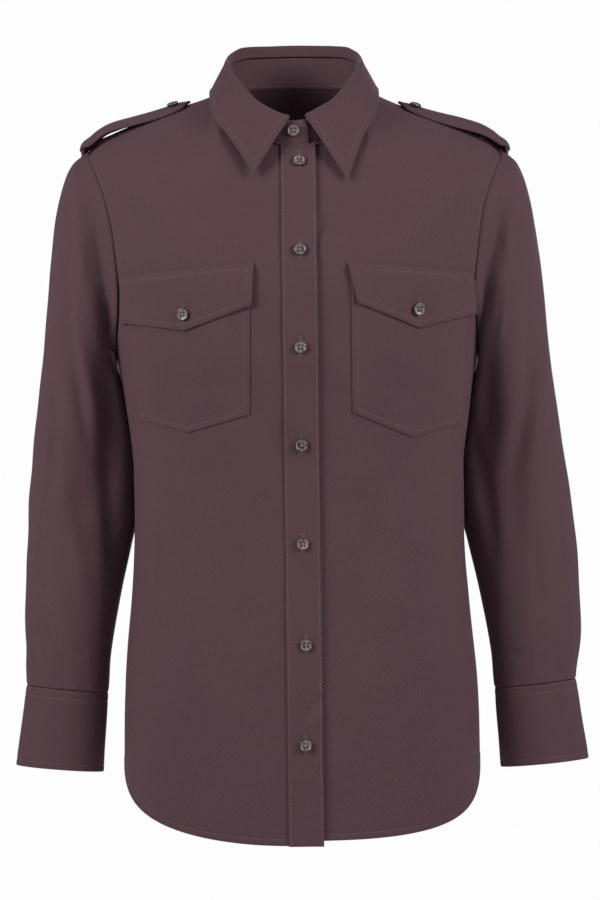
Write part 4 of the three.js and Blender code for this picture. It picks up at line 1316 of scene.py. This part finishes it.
POCKETS = {
    "right": Pocket(
        Patch((-43, -176), (-163, -184), (-151, -313), (-103, -326.5), (-45, -310.5)),
        Patch((-39.5, -169), (-164, -178), (-164.5, -221.5), (-104, -231), (-41.5, -208.5)),
        (-104.5, -215.7),
    ),
    "left": Pocket(
        Patch((51, -176), (165, -184), (153.5, -321), (107, -333.5), (51, -309.5)),
        Patch((47.5, -169), (166, -178), (167.5, -216.5), (113, -231), (56, -207)),
        (112.2, -213.4),
    ),
}


@dataclass
class Placket:
    """The button band down the centre front, its wearer's-left edge free."""

    left: float = -13.5
    right: float = 19.5
    bottom: float = -714.6
    cloth: float = 1.3
    stitch: float = 1.9

    def band(self, under: Underlay) -> Made:
        """The band and the stitching inside both long edges.

        Args:
            under: The cloth it lies on.

        Returns:
            The cloth and its lines of stitches.
        """
        span = self.right - self.left
        x = self.left + stations(span, 1.8, (0, 4, 0.6), (span - 4, span, 0.6))
        share = stations(1, 0.0038, (0, 0.012, 0.0015))
        x, share = np.meshgrid(x, share)
        neck = neckline(np.degrees(np.arcsin(x / NECK.half_width)))[..., 2] - 1
        z = lerp(self.bottom, neck, share)
        base = Cloth(under.drape(x, z), self.cloth, np.array((0, -1, 0)))
        long_edges = base.distance(base.edge(Edge.FIRST_COLUMN), base.edge(Edge.LAST_COLUMN))
        ends = base.distance(base.edge(Edge.FIRST_ROW))
        free = 1.7 * smoothstep(x, 8, self.right)
        fold = -0.3 * bump(long_edges - self.stitch, 0.7)
        fold = fold - 0.5 * bump(long_edges, 0.6) - 0.5 * bump(ends, 0.7)
        creases = [
            Crease(((0, -597), (10, -586), (21, -573)), -1.2, 3.2, fade=0.2),
            Crease(((2, -608), (12, -597), (22, -586)), 0.9, 3.4, fade=0.2),
            Crease(((3, -656), (11, -643), (19, -632)), 1.0, 3.2, fade=0.2),
            Crease(((12, -300), (13, -380), (12, -470)), 0.5, 4),
            Crease(((-4, -480), (-5, -560), (-3, -640)), 0.5, 4),
        ]
        waves = sum(crease.heights(base.points, base.outs) for crease in creases)
        waves = waves + undulation(base.points, 0.25, 50, 41)
        base.raised(self.cloth + 0.5 + free + fold + waves)
        return base, base.contour(long_edges, self.stitch)


# Collar

@dataclass
class Collar:
    """The collar stand round the neck, and the pointed fall that turns over it."""

    stand_cloth: float = 1.4
    fall_cloth: float = 1.7
    stand_start: float = -8
    stand_end: float = 371.5
    corner: float = 9
    fall_start: float = 9.4
    fall_end: float = 355.7
    profile: tuple = (
        (0, 25.5, 0.5, 2.6), (25, 26, 1.2, 3.2), (50, 26, 1.5, 4.2), (75, 23.5, 1.2, 4), (90, 23, 1.2, 3.6),
        (112, 27, 5.2, 3.6), (130, 29.5, 7.4, 3.6), (180, 30, 7.5, 3.6),
    )
    front_edge: tuple = ((9.4, 49.3, -92.5, 5), (41.8, 66, -50, 5), (65.7, 77.2, -24, 8.5))
    back_edge: tuple = (
        (77.6, 81.8, -3, 0.5), (105, 78, 30, 1), (130.5, 60, 60, 2), (157.8, 30, 80, 1), (180, 0, 86, 0),
    )
    stitch: float = 5.8

    def curve(self, index: int) -> Curve:
        """A column of the profile by the angle round the neck: height 1, rise 2, roll 3."""
        return Curve([(row[0], row[index]) for row in self.profile], flat_ends=True)

    def stand_lift(self, angle: Array) -> Array:
        """How far the lapped end stands off the other."""
        return 2.1 * smoothstep(angle, 315, 350)

    def stand_point(self, angle: Array, v: Array) -> Array:
        """Points on the stand's outer face.

        Args:
            angle: Degrees round the neck.
            v: The place up the stand, 0 to 1.

        Returns:
            The points.
        """
        bottom = neckline(angle) + (0, 0, -0.6)
        from_end = np.radians(np.minimum(angle - self.stand_start, self.stand_end - angle)) * NECK.front
        reach = np.maximum(0, self.corner - from_end)
        missing = self.corner - np.sqrt(np.maximum(0, self.corner**2 - reach**2))
        height = self.curve(1)(folded(angle))
        top = STAND_TOP.at(angle, bottom[..., 2] + height)
        at = lerp(bottom, top, (v * (height - missing) / height)[..., None])
        return at + unit(at * (1, 1, 0)) * self.stand_lift(angle)[..., None]

    def stand(self) -> Made:
        """The stand and its stitching, outside and inside.

        Returns:
            The cloth and its lines of stitches.
        """
        span = self.stand_end - self.stand_start
        angle = self.stand_start + stations(span, 2.2, (0, 9, 0.75), (span - 9, span, 0.75))
        v = stations(1, 0.09, (0, 0.12, 0.03), (0.88, 1, 0.03))
        angle, v = np.meshgrid(angle, v)
        points = self.stand_point(angle, v)
        cloth = Cloth(points, self.stand_cloth, points * (1, 1, 0))
        near = cloth.distance(*[cloth.edge(edge) for edge in Edge])
        cloth.raised(-0.25 * bump(near - 1.7, 0.6) - 0.4 * bump(near, 0.6))
        low = cloth.distance(cloth.edge(Edge.FIRST_ROW))
        return cloth, cloth.contour(near, 1.7) + cloth.contour(low, 1.8, inside=True)

    def edge(self, under: Underlay) -> list[Curve]:
        """The x, y and z of the fall's outer edge, by the angle round the neck.

        Args:
            under: The fronts' cloth, that the points rest on.

        Returns:
            Three curves.
        """
        rows = []
        for angle, x, z, lift in self.front_edge:
            spots = under.drape(np.array([[x, x + 3], [x, x + 3]]), np.array([[z, z], [z + 3, z + 3]]))
            out = Cloth(spots, 1, np.array((0, -1, 0))).outs[0, 0]
            rows.append((angle, *(spots[0, 0] + out * lift)))
        rows += [(angle, x, y, z) for angle, x, y, z in self.back_edge]
        return [Curve([(row[0], row[i]) for row in rows]) for i in (1, 2, 3)]

    def fall(self, under: Underlay) -> Made:
        """The fall, from the stand's top over its roll to the points, and its stitching.

        Args:
            under: The fronts' cloth, that the points rest on.

        Returns:
            The cloth and its lines of stitches.
        """
        span = self.fall_end - self.fall_start
        angle = self.fall_start + stations(span, 2.0, (0, 7, 0.55), (span - 7, span, 0.55))
        half = folded(angle)
        start = STAND_TOP.at(angle, neckline(angle)[:, 2] + self.curve(1)(half) + 0.7)
        outwards = unit(start * (1, 1, 0))
        start = start + outwards * (self.stand_lift(angle) - self.stand_cloth)[:, None]
        rise, roll = self.curve(2)(half)[:, None], self.curve(3)(half)[:, None]
        up = np.array((0, 0, 1.0))
        turns = np.radians(np.linspace(0, 180, 13))
        rows = [start]
        for turn in turns:
            out, lift = outwards * roll * (1 - math.cos(turn)), up * (rise + roll * math.sin(turn))
            rows.append(start + out + lift)
        side = np.where(angle > 180, -1, 1)
        lean = np.where(side < 0, 1 - smoothstep(half, 0, 60), 0)
        x, y, z = (curve(half) for curve in self.edge(under))
        end = np.stack([side * x + lean * 10.3, y, z + lean * 6.3], axis=1)
        top = rows[-1]
        length = np.linalg.norm(end - top, axis=1).mean()
        shares = stations(1, 2.2 / length, (0, 0.1, 0.03), (1 - 8 / length, 1, 0.62 / length))[1:]
        away = unit(np.cross(end - top, np.gradient(end, axis=0)))
        away = away * np.sign((away * (outwards + (0, 0, 0.4))).sum(axis=1))[:, None]
        for share in shares:
            belly = 0.5 * math.sin(math.pi * share) * (1 - 0.4 * share)
            rows.append(lerp(top, end, share) + away * belly)
        points = np.stack(rows)
        cloth = Cloth(points, self.fall_cloth, points - points[0] + outwards * 5)
        edges = [cloth.edge(edge) for edge in (Edge.LAST_ROW, Edge.FIRST_COLUMN, Edge.LAST_COLUMN)]
        near = cloth.distance(*edges)
        fold = -0.4 * bump(near - self.stitch, 0.9) - 0.5 * bump(near, 0.8)
        cloth.raised(fold + undulation(points, 0.22, 45, 51) * smoothstep(near, 1, 12))
        # Short stray lines are left out
        return cloth, [line for line in cloth.contour(near, self.stitch) if len(line[0]) > 30]


@dataclass
class Epaulette:
    """A shoulder strap, from its pointed end by the collar to the sleeve head."""

    side: int
    cloth: float = 1.7
    stitch: float = 5.2
    table: tuple = (
        (99.6, -7, 3, 1, 1), (108, -8.6, 15, 7, 4), (118, -11.6, 16.5, 9, 5.5), (138.5, -17.5, 18, 11.3, 7),
        (160.7, -23.3, 19.5, 12, 8), (178, -28.8, 20.5, 11.5, 9), (189, -34.8, 21, 10.8, 9.5),
        (197, -41.3, 21, 9.5, 9.5), (203.5, -46.3, 21, 6.5, 9.5), (205.8, -51, 21, 5, 9.5),
        (203.2, -54.3, 21, 4.5, 9.5),
    )

    def strap(self) -> Made:
        """The strap and its stitching.

        Returns:
            The cloth and its lines of stitches.
        """
        table = np.array(self.table)
        run = np.concatenate([[0], np.linalg.norm(np.diff(table[:, :2], axis=0), axis=1).cumsum()])
        along = stations(run[-1], 1.9, (0, 12, 0.8), (run[-1] - 3, run[-1], 0.8))
        x, z, half, front, back = (Curve(list(zip(run, table[:, i])))(along)[:, None] for i in range(5))
        share = stations(2, 0.1, (0, 0.34, 0.04), (1.66, 2, 0.04))[None] - 1
        # The wearer's right strap lifts towards the sleeve, so that light shows under it
        arch = 2.8 * smoothstep(x, 100, 180) * (1 - smoothstep(x, 182, 196)) if self.side < 0 else 0
        drop = np.where(share < 0, front, back) - arch
        height = z - shoulder_drop(x, self.side) - drop * share**2
        points = np.stack(np.broadcast_arrays(self.side * x, half * share, height), axis=-1)
        cloth = Cloth(points, self.cloth, np.array((self.side * 0.3, 0, 1)))
        edges = [cloth.edge(edge) for edge in (Edge.FIRST_ROW, Edge.FIRST_COLUMN, Edge.LAST_COLUMN)]
        near = cloth.distance(*edges)
        fold = -0.35 * bump(near - self.stitch, 0.9) - 0.5 * bump(near, 0.7)
        cloth.raised(fold + undulation(points, 0.2, 40, 61 + self.side))
        return cloth, cloth.contour(near, self.stitch)


# Buttons

def cylinder(vertices: int, radius: float, depth: float, location: tuple[float, float, float],
             tip: float = 0) -> bpy.types.Object:
    """Adds an upright cylinder, or one tipped over towards the front or back.

    Args:
        vertices: How many sides.
        radius: Its radius.
        depth: Its height.
        location: Its middle.
        tip: How far it is tipped over, in radians.

    Returns:
        The object.
    """
    bpy.ops.object.select_all(action="DESELECT")
    bpy.ops.mesh.primitive_cylinder_add(
        vertices=vertices, radius=radius, depth=depth, location=location, rotation=(tip, 0, 0))
    return bpy.context.object


def settle_mesh() -> None:
    """Lets go of the mesh being edited, with nothing selected."""
    bpy.ops.mesh.select_all(action="DESELECT")
    bpy.ops.object.mode_set(mode="OBJECT")


def smooth(made: bpy.types.Object, sharpest: float, finish: bpy.types.Material) -> None:
    """Smooths an object's faces up to an angle in degrees, and gives it its finish.

    Args:
        made: The object.
        sharpest: The angle.
        finish: The material.
    """
    bpy.ops.object.shade_smooth_by_angle(angle=math.radians(sharpest))
    made.data.materials.clear()
    made.data.materials.append(finish)


@dataclass
class Button:
    """A four-holed shirt button: raised rim, dished middle and thread."""

    radius: float = 5.8
    thickness: float = 2.2
    rim: float = 1.1
    dish: float = 0.7
    hole: float = 0.95
    hole_offset: float = 2.1875
    face: float = 0.12
    corner: float = 0.5

    def holes(self) -> list[tuple[float, float]]:
        """The middles of the four holes; hole_offset is how far they are from the button's middle."""
        step = self.hole_offset / math.sqrt(2)
        return [(sx * step, sy * step) for sx in (-1, 1) for sy in (-1, 1)]

    def disc(self, finish: bpy.types.Material) -> bpy.types.Object:
        """Models the disc once, face up, its back at z = 0.

        Args:
            finish: The horn.

        Returns:
            The disc, to be copied.
        """
        disc = cylinder(40, self.radius, self.thickness, (0, 0, self.thickness / 2))
        bpy.ops.object.transform_apply(location=True, rotation=True, scale=True)
        bpy.ops.object.mode_set(mode="EDIT")
        settle_mesh()
        for polygon in disc.data.polygons:
            polygon.select = polygon.normal.z > 0.9
        bpy.ops.object.mode_set(mode="EDIT")
        bpy.ops.mesh.inset(thickness=self.rim)
        bpy.ops.mesh.inset(thickness=0.55)
        bpy.ops.transform.translate(value=(0, 0, -self.dish))
        bpy.ops.mesh.inset(thickness=0.8)
        bpy.ops.transform.translate(value=(0, 0, -self.face))
        settle_mesh()
        for edge in disc.data.edges:
            ends = [disc.data.vertices[i].co for i in edge.vertices]
            reach = [math.hypot(end.x, end.y) for end in ends]
            round_ring = abs(ends[0].z - ends[1].z) < 1e-4 and abs(reach[0] - reach[1]) < 0.01
            edge.select = round_ring and min(reach) > self.radius - self.rim - 0.2
        bpy.ops.object.mode_set(mode="EDIT")
        bpy.ops.mesh.bevel(offset=self.corner, segments=3, affect="EDGES")
        settle_mesh()
        for x, y in self.holes():
            drill = cylinder(14, self.hole, 8, (x, y, 1))
            cut = disc.modifiers.new("hole", "BOOLEAN")
            cut.operation, cut.solver, cut.object = "DIFFERENCE", "EXACT", drill
            bpy.context.view_layer.objects.active = disc
            bpy.ops.object.modifier_apply(modifier=cut.name)
            bpy.data.objects.remove(drill)
        bpy.ops.object.select_all(action="DESELECT")
        disc.select_set(True)
        smooth(disc, 32, finish)
        # Marks the outer rim and the upright walls, those of the holes too, for the horn's painted shade: a
        # dark outline drawn into the colour
        turned = disc.data.attributes.new("painted_shade_rim", "FLOAT", "FACE")
        for polygon in disc.data.polygons:
            outside = math.hypot(polygon.center.x, polygon.center.y) > self.radius - 0.4
            turned.data[polygon.index].value = 0.85 if outside or abs(polygon.normal.z) < 0.5 else 0
        return disc

    def thread(self, finish: bpy.types.Material) -> bpy.types.Object:
        """Models the sewing once: bars from hole to hole over the face and a shank under the button.

        Args:
            finish: The thread.

        Returns:
            The sewing, to be copied.
        """
        parts = []
        offset = self.holes()[3][0]
        top = self.thickness - self.dish - self.face
        for x in (-offset, offset):
            for shift in (-0.17, 0.17):
                bar = cylinder(8, 0.15, 2 * offset + 0.7, (x + shift, 0, top + 0.03), math.pi / 2)
                bpy.ops.object.transform_apply(location=True, rotation=True, scale=True)
                bpy.ops.object.mode_set(mode="EDIT")
                for bend in (-offset + 0.3, offset - 0.3):
                    bpy.ops.mesh.select_all(action="SELECT")
                    bpy.ops.mesh.bisect(plane_co=(0, bend, 0), plane_no=(0, 1, 0))
                settle_mesh()
                for vertex in bar.data.vertices:
                    vertex.select = abs(vertex.co.y) > offset + 0.1
                bpy.ops.object.mode_set(mode="EDIT")
                bpy.ops.transform.translate(value=(0, 0, -0.9))
                bpy.ops.object.mode_set(mode="OBJECT")
                parts.append(bar)
        shank = cylinder(16, 2.0, 1.2, (0, 0, -0.2))
        for part in parts:
            part.select_set(True)
        bpy.ops.object.join()
        bpy.ops.object.transform_apply(location=True, rotation=True, scale=True)
        smooth(shank, 50, finish)
        return shank


@dataclass(frozen=True)
class Buttonhole:
    """An upright worked slit: two ridges of close stitches and a bar at each end."""

    above: float = 9.8
    below: float = 7.4
    pitch: float = 0.56
    ridge: float = 0.8
    stitch: Thread = Thread(length=1.3, gap=0.1, width=0.52, height=0.5)

    def lines(self, x: float, z: float, under: Underlay) -> Lines:
        """Where its stitches go behind a button at x, z, each as a line of its own.

        Args:
            x: Across.
            z: Up.
            under: The cloth it is worked in.

        Returns:
            The lines.
        """
        rungs = np.arange(-self.below, self.above, self.pitch)
        spots = [(x + aside, z + rung) for rung in rungs for aside in (-self.ridge, self.ridge)]
        spots += [(x, z + end + shift) for end in (-self.below, self.above) for shift in (-0.3, 0.3)]
        out = np.array([(0, -1.0, 0)] * 2)
        half = (self.stitch.length + self.stitch.gap) / 2 + 0.01
        lines = []
        for across, up in spots:
            place = np.array([across, under.depth(across, up), up])
            lines.append((place + [(-half, 0, 0), (half, 0, 0)], out))
        return lines


@dataclass
class Buttons:
    """All the shirt's buttons, at their solids' places."""

    button: Button
    names: tuple[str, ...] = (
        "collar", *(f"front_{i}" for i in range(1, 8)), "flap_right", "flap_left",
        "epaulette_right", "epaulette_left", "cuff_right", "cuff_left",
    )
    wrist_x: float = 228
    under_straps: float = -150

    def seat(self, node: str) -> Matrix:
        """The turn and place of a button's solid: its back's middle, and its axis pointing out.

        Args:
            node: The button's solid.

        Returns:
            The matrix, in metres.
        """
        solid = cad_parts[node]
        places = np.array([tuple(v.co) for v in solid.data.vertices]) / MM
        middle = places.mean(axis=0)
        axis = np.linalg.svd(places - middle)[2][2]
        outward = middle - (0, 0, self.under_straps if "epaulette" in node else middle[2])
        if "cuff" in node:
            outward = middle - (math.copysign(self.wrist_x, middle[0]), 0, middle[2])
        axis = Vector(axis * (1 if axis @ outward > 0 else -1))
        up = Vector((0, 1, 0)) if "epaulette" in node else Vector((0, 0, 1))
        right = up.cross(axis).normalized()
        turn = Matrix((right, axis.cross(right), axis)).transposed().to_4x4()
        seat = Vector(middle) - axis * (self.button.thickness / 2)
        return Matrix.Scale(MM, 4) @ Matrix.Translation(seat) @ turn

    def dress(self, finishes: Finishes) -> None:
        """Copies the button and its thread to each place.

        Args:
            finishes: The materials.
        """
        disc = self.button.disc(finishes.horn)
        thread = self.button.thread(finishes.thread)
        for name in self.names:
            place = self.seat(f"button_{name}")
            for pattern, kind, slot in ((disc, "button", "button"), (thread, "button_thread", "shirt_twill")):
                copy = bpy.data.objects.new(f"sewn_{kind}_{name}", pattern.data.copy())
                bpy.context.collection.objects.link(copy)
                copy.data.transform(place)
                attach(copy, "root")
                if kind == "button":
                    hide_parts(f"button_{name}")
            log.info("button %s sewn on", name)
        for pattern in (disc, thread):
            bpy.data.objects.remove(pattern)


# Shirt and studio

@dataclass
class Shirt:
    """The whole shirt, built piece by piece."""

    finishes: Finishes
    panels: Panels = field(default_factory=Panels)

    def settle(self, cloth: Cloth, creases: list[Crease], seed: int) -> None:
        """Gives a panel its unevenness and creases.

        Args:
            cloth: The panel.
            creases: Its creases.
            seed: Its pattern of unevenness.
        """
        rows = self.panels.row_marks()[:, None]
        calm = smoothstep(rows, 0, 1.5) * (1 - smoothstep(rows, self.panels.rows - 2, self.panels.rows))
        cloth.raised(undulation(cloth.points, 0.5, 90, seed) * calm)
        cloth.raised(sum(crease.heights(cloth.points, cloth.outs) for crease in creases))

    def sew(self, cloth: Cloth, both_sides: bool) -> Lines:
        """Sinks the seams and turns up the hem.

        Args:
            cloth: The panel.
            both_sides: Whether both long edges are side seams, as on the back.

        Returns:
            The lines of stitching on the panel.
        """
        start = self.panels.armhole_start()
        side_edges = [Edge.LAST_COLUMN] + ([Edge.FIRST_COLUMN] if both_sides else [])
        seams = [cloth.edge(edge) for edge in side_edges] + [cloth.edge(Edge.LAST_ROW)]
        seam = cloth.distance(*seams)
        hem = cloth.distance(cloth.edge(Edge.FIRST_ROW))
        armholes = [cloth.distance(cloth.edge(edge, slice(start, None))) for edge in side_edges]
        turned_up = 0.35 * (1 - smoothstep(hem, 5.2, 6.2)) - 0.4 * bump(hem - 5.9, 0.8) - 0.4 * bump(hem, 0.7)
        cloth.raised(-0.75 * bump(seam, 1.1) + turned_up)
        lines = cloth.contour(hem, 5.9)
        for armhole in armholes:
            cloth.raised(-0.2 * bump(armhole - 2.0, 0.7))
            lines += cloth.contour(armhole, 2.0)
        return lines

    def build(self) -> None:
        right = self.panels.front(-1, -6.5)
        left = self.panels.front(1, -5.5)
        back = self.panels.back()
        for cloth in (right, left):
            self.settle(cloth, FRONT_CREASES, 1)
        self.settle(back, BACK_CREASES, 2)
        under = Underlay(right, left)
        self.piece("right_front", (right, self.sew(right, False)), "front_right", "hung", ["collar_stand"])
        self.piece("left_front", (left, self.sew(left, False)), "front_left", "hung", ["collar_stand"])
        self.piece("back_panel", (back, self.sew(back, True)), "back", "hung", ["collar_stand"])
        band = Placket().band(under)
        self.piece("button_band", band, "front_placket", "laid", ["front_right"])
        self.buttonholes("button_band", band[0], [f"front_{i}" for i in range(1, 8)])
        for word, pocket in POCKETS.items():
            bag = pocket.bag(under)
            self.piece(f"{word}_pocket", bag, f"pocket_{word}", "laid", [f"front_{word}"])
            cover = pocket.cover(under)
            self.piece(f"{word}_flap", cover, f"flap_{word}", "laid", [f"pocket_{word}"])
            self.buttonholes(f"{word}_flap", cover[0], [f"flap_{word}"])
        collar = Collar()
        self.piece("neckband", collar.stand(), "collar_stand", "folded", ["back"])
        self.piece("collar_fall", collar.fall(under), "collar", "folded", ["collar_stand"])
        for word, side, (folds, creases) in (("right", -1, RIGHT_SLEEVE), ("left", 1, LEFT_SLEEVE)):
            self.sleeve(word, Sleeve(side, self.panels, folds, creases))
            strap, below = Epaulette(side).strap(), [f"front_{word}", "back"]
            self.piece(f"{word}_epaulette", strap, f"epaulette_{word}", "laid", below)

    def buttonholes(self, name: str, cloth: Cloth, buttons: list[str]) -> None:
        """Works a buttonhole in a piece behind each of its buttons.

        Args:
            name: The piece's name.
            cloth: Its cloth.
            buttons: The buttons' names.
        """
        hole, under, lines = Buttonhole(), Underlay(cloth), []
        for button in buttons:
            low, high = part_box(f"button_{button}")
            middle = (Vector(low) + Vector(high)) / (2 * MM)
            lines += hole.lines(middle.x, middle.z, under)
        stitches = hole.stitch.sew(f"buttonholes_{name}", lines, self.finishes.thread)
        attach(stitches, "root")

    def sleeve(self, word: str, sleeve: Sleeve) -> None:
        """Builds a sleeve with its cuff and sleeve placket.

        Args:
            word: Right or left.
            sleeve: Its sizes and folds.
        """
        below = [f"sleeve_{word}"]
        self.piece(f"{word}_sleeve", (sleeve.tube(), []), f"sleeve_{word}", "hung", [f"front_{word}", "back"])
        self.piece(f"{word}_cuff", sleeve.cuff(), f"cuff_{word}", "folded", below)
        self.piece(f"{word}_sleeve_placket", sleeve.placket(), f"sleeve_placket_{word}", "laid", below)

    def piece(self, name: str, made: Made, node: str, held: str, rests_on: list[str]) -> None:
        """Builds one cloth piece with its stitching, hides the solid it stands for and parents both to the
        root.

        Args:
            name: The piece's name.
            made: Its cloth and the lines of stitches on it.
            node: The solid that it stands for.
            held: How the cloth is held; not used.
            rests_on: The solids that carry it; not used.
        """
        cloth, lines = made
        piece = cloth.build(name, self.finishes.twill)
        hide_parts(node)
        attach(piece, "root")
        if lines:
            stitches = Thread().sew(f"stitches_{name}", lines, self.finishes.thread)
            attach(stitches, "root")
        flat, area = cloth.cut()
        log.info("%s: %d points, cut %.3f x %.3f m", name, len(piece.data.vertices), *flat)


@dataclass
class Studio:
    """A pale floor, a white surround, large soft lights and the camera at the photo's view."""

    floor_z: float = -1.25
    view_height: float = 0.864
    distance: float = 4.0
    centre: tuple[float, float] = (0.00144, -0.344)
    roll: float = 0.0122
    ambient: float = 0.26
    lights_aim: tuple[float, float, float] = (0, 0, -0.3)
    lights_spread: float = 100

    def build(self) -> None:
        """Makes the studio."""
        bpy.ops.mesh.primitive_plane_add(size=7, location=(0, 0, self.floor_z))
        floor = bpy.context.object
        floor.name = "studio_floor"
        floor.data.materials.append(StudioPaint().material())
        self.surround()
        self.light("right_softbox", (-1.74, -1.1, 0.5), 0.9, 9.4)
        self.light("left_softbox", (1.74, -1.1, 0.5), 0.9, 8.9)
        self.light("back_softbox", (0.2, 2.3, 0.25), 1.5, 13)
        self.camera()
        bpy.context.scene.view_settings.view_transform = "Standard"

    def surround(self) -> None:
        """Makes the paper surround: white where it shows, and a dimmer, even light on the shirt."""
        world = bpy.data.worlds.new("studio")
        world.use_nodes = True
        tree = world.node_tree
        tree.nodes.clear()
        seen = add_node(tree, "ShaderNodeLightPath", {}, {}).outputs["Is Camera Ray"]
        strength = add_node(tree, "ShaderNodeMapRange", {}, {
            "Value": seen, "To Min": self.ambient, "To Max": 1.0,
        }).outputs["Result"]
        colour = add_node(tree, "ShaderNodeMix", {"data_type": "RGBA"}, {
            0: seen, 6: linear("#e6e7fa"), 7: linear("#fdfdfd"),
        }).outputs[2]
        background = add_node(tree, "ShaderNodeBackground", {}, {"Color": colour, "Strength": strength})
        add_node(tree, "ShaderNodeOutputWorld", {}, {"Surface": background.outputs[0]})
        bpy.context.scene.world = world

    def light(self, name: str, place: tuple[float, float, float], size: float, power: float) -> None:
        """Adds a large soft light that points at the shirt's chest and falls off round it.

        Args:
            name: Its name.
            place: Where it stands, in metres.
            size: Its side, in metres.
            power: Its watts.
        """
        data = bpy.data.lights.new(name, "AREA")
        data.size, data.energy, data.spread = size, power, math.radians(self.lights_spread)
        light = bpy.data.objects.new(name, data)
        light.location = place
        towards = Vector(self.lights_aim) - Vector(place)
        light.rotation_euler = towards.to_track_quat("-Z", "Y").to_euler()
        bpy.context.collection.objects.link(light)

    def camera(self) -> None:
        """Places the camera where the photograph was taken from, with its slight roll."""
        data = bpy.data.cameras.new("camera")
        data.sensor_fit = "VERTICAL"
        data.sensor_height = 36
        data.lens = 36 * self.distance / self.view_height
        camera = bpy.data.objects.new("camera", data)
        right = Vector((1, 0, -self.roll)).normalized()
        up = Vector((self.roll, 0, 1)).normalized()
        turn = Matrix((right, up, Vector((0, -1, 0)))).transposed().to_4x4()
        x, z = self.centre
        camera.matrix_world = Matrix.Translation((x, -self.distance, z)) @ turn
        bpy.context.collection.objects.link(camera)
        bpy.context.scene.camera = camera


def main() -> None:
    """Builds the studio, the shirt and its buttons."""
    logging.basicConfig(level=logging.INFO, format="%(name)s: %(message)s")
    Studio().build()
    finishes = Finishes(Twill().material(), SewingThread().material(), Horn().material())
    Shirt(finishes).build()
    Buttons(Button()).dress(finishes)


if __name__ == "__main__":
    main()
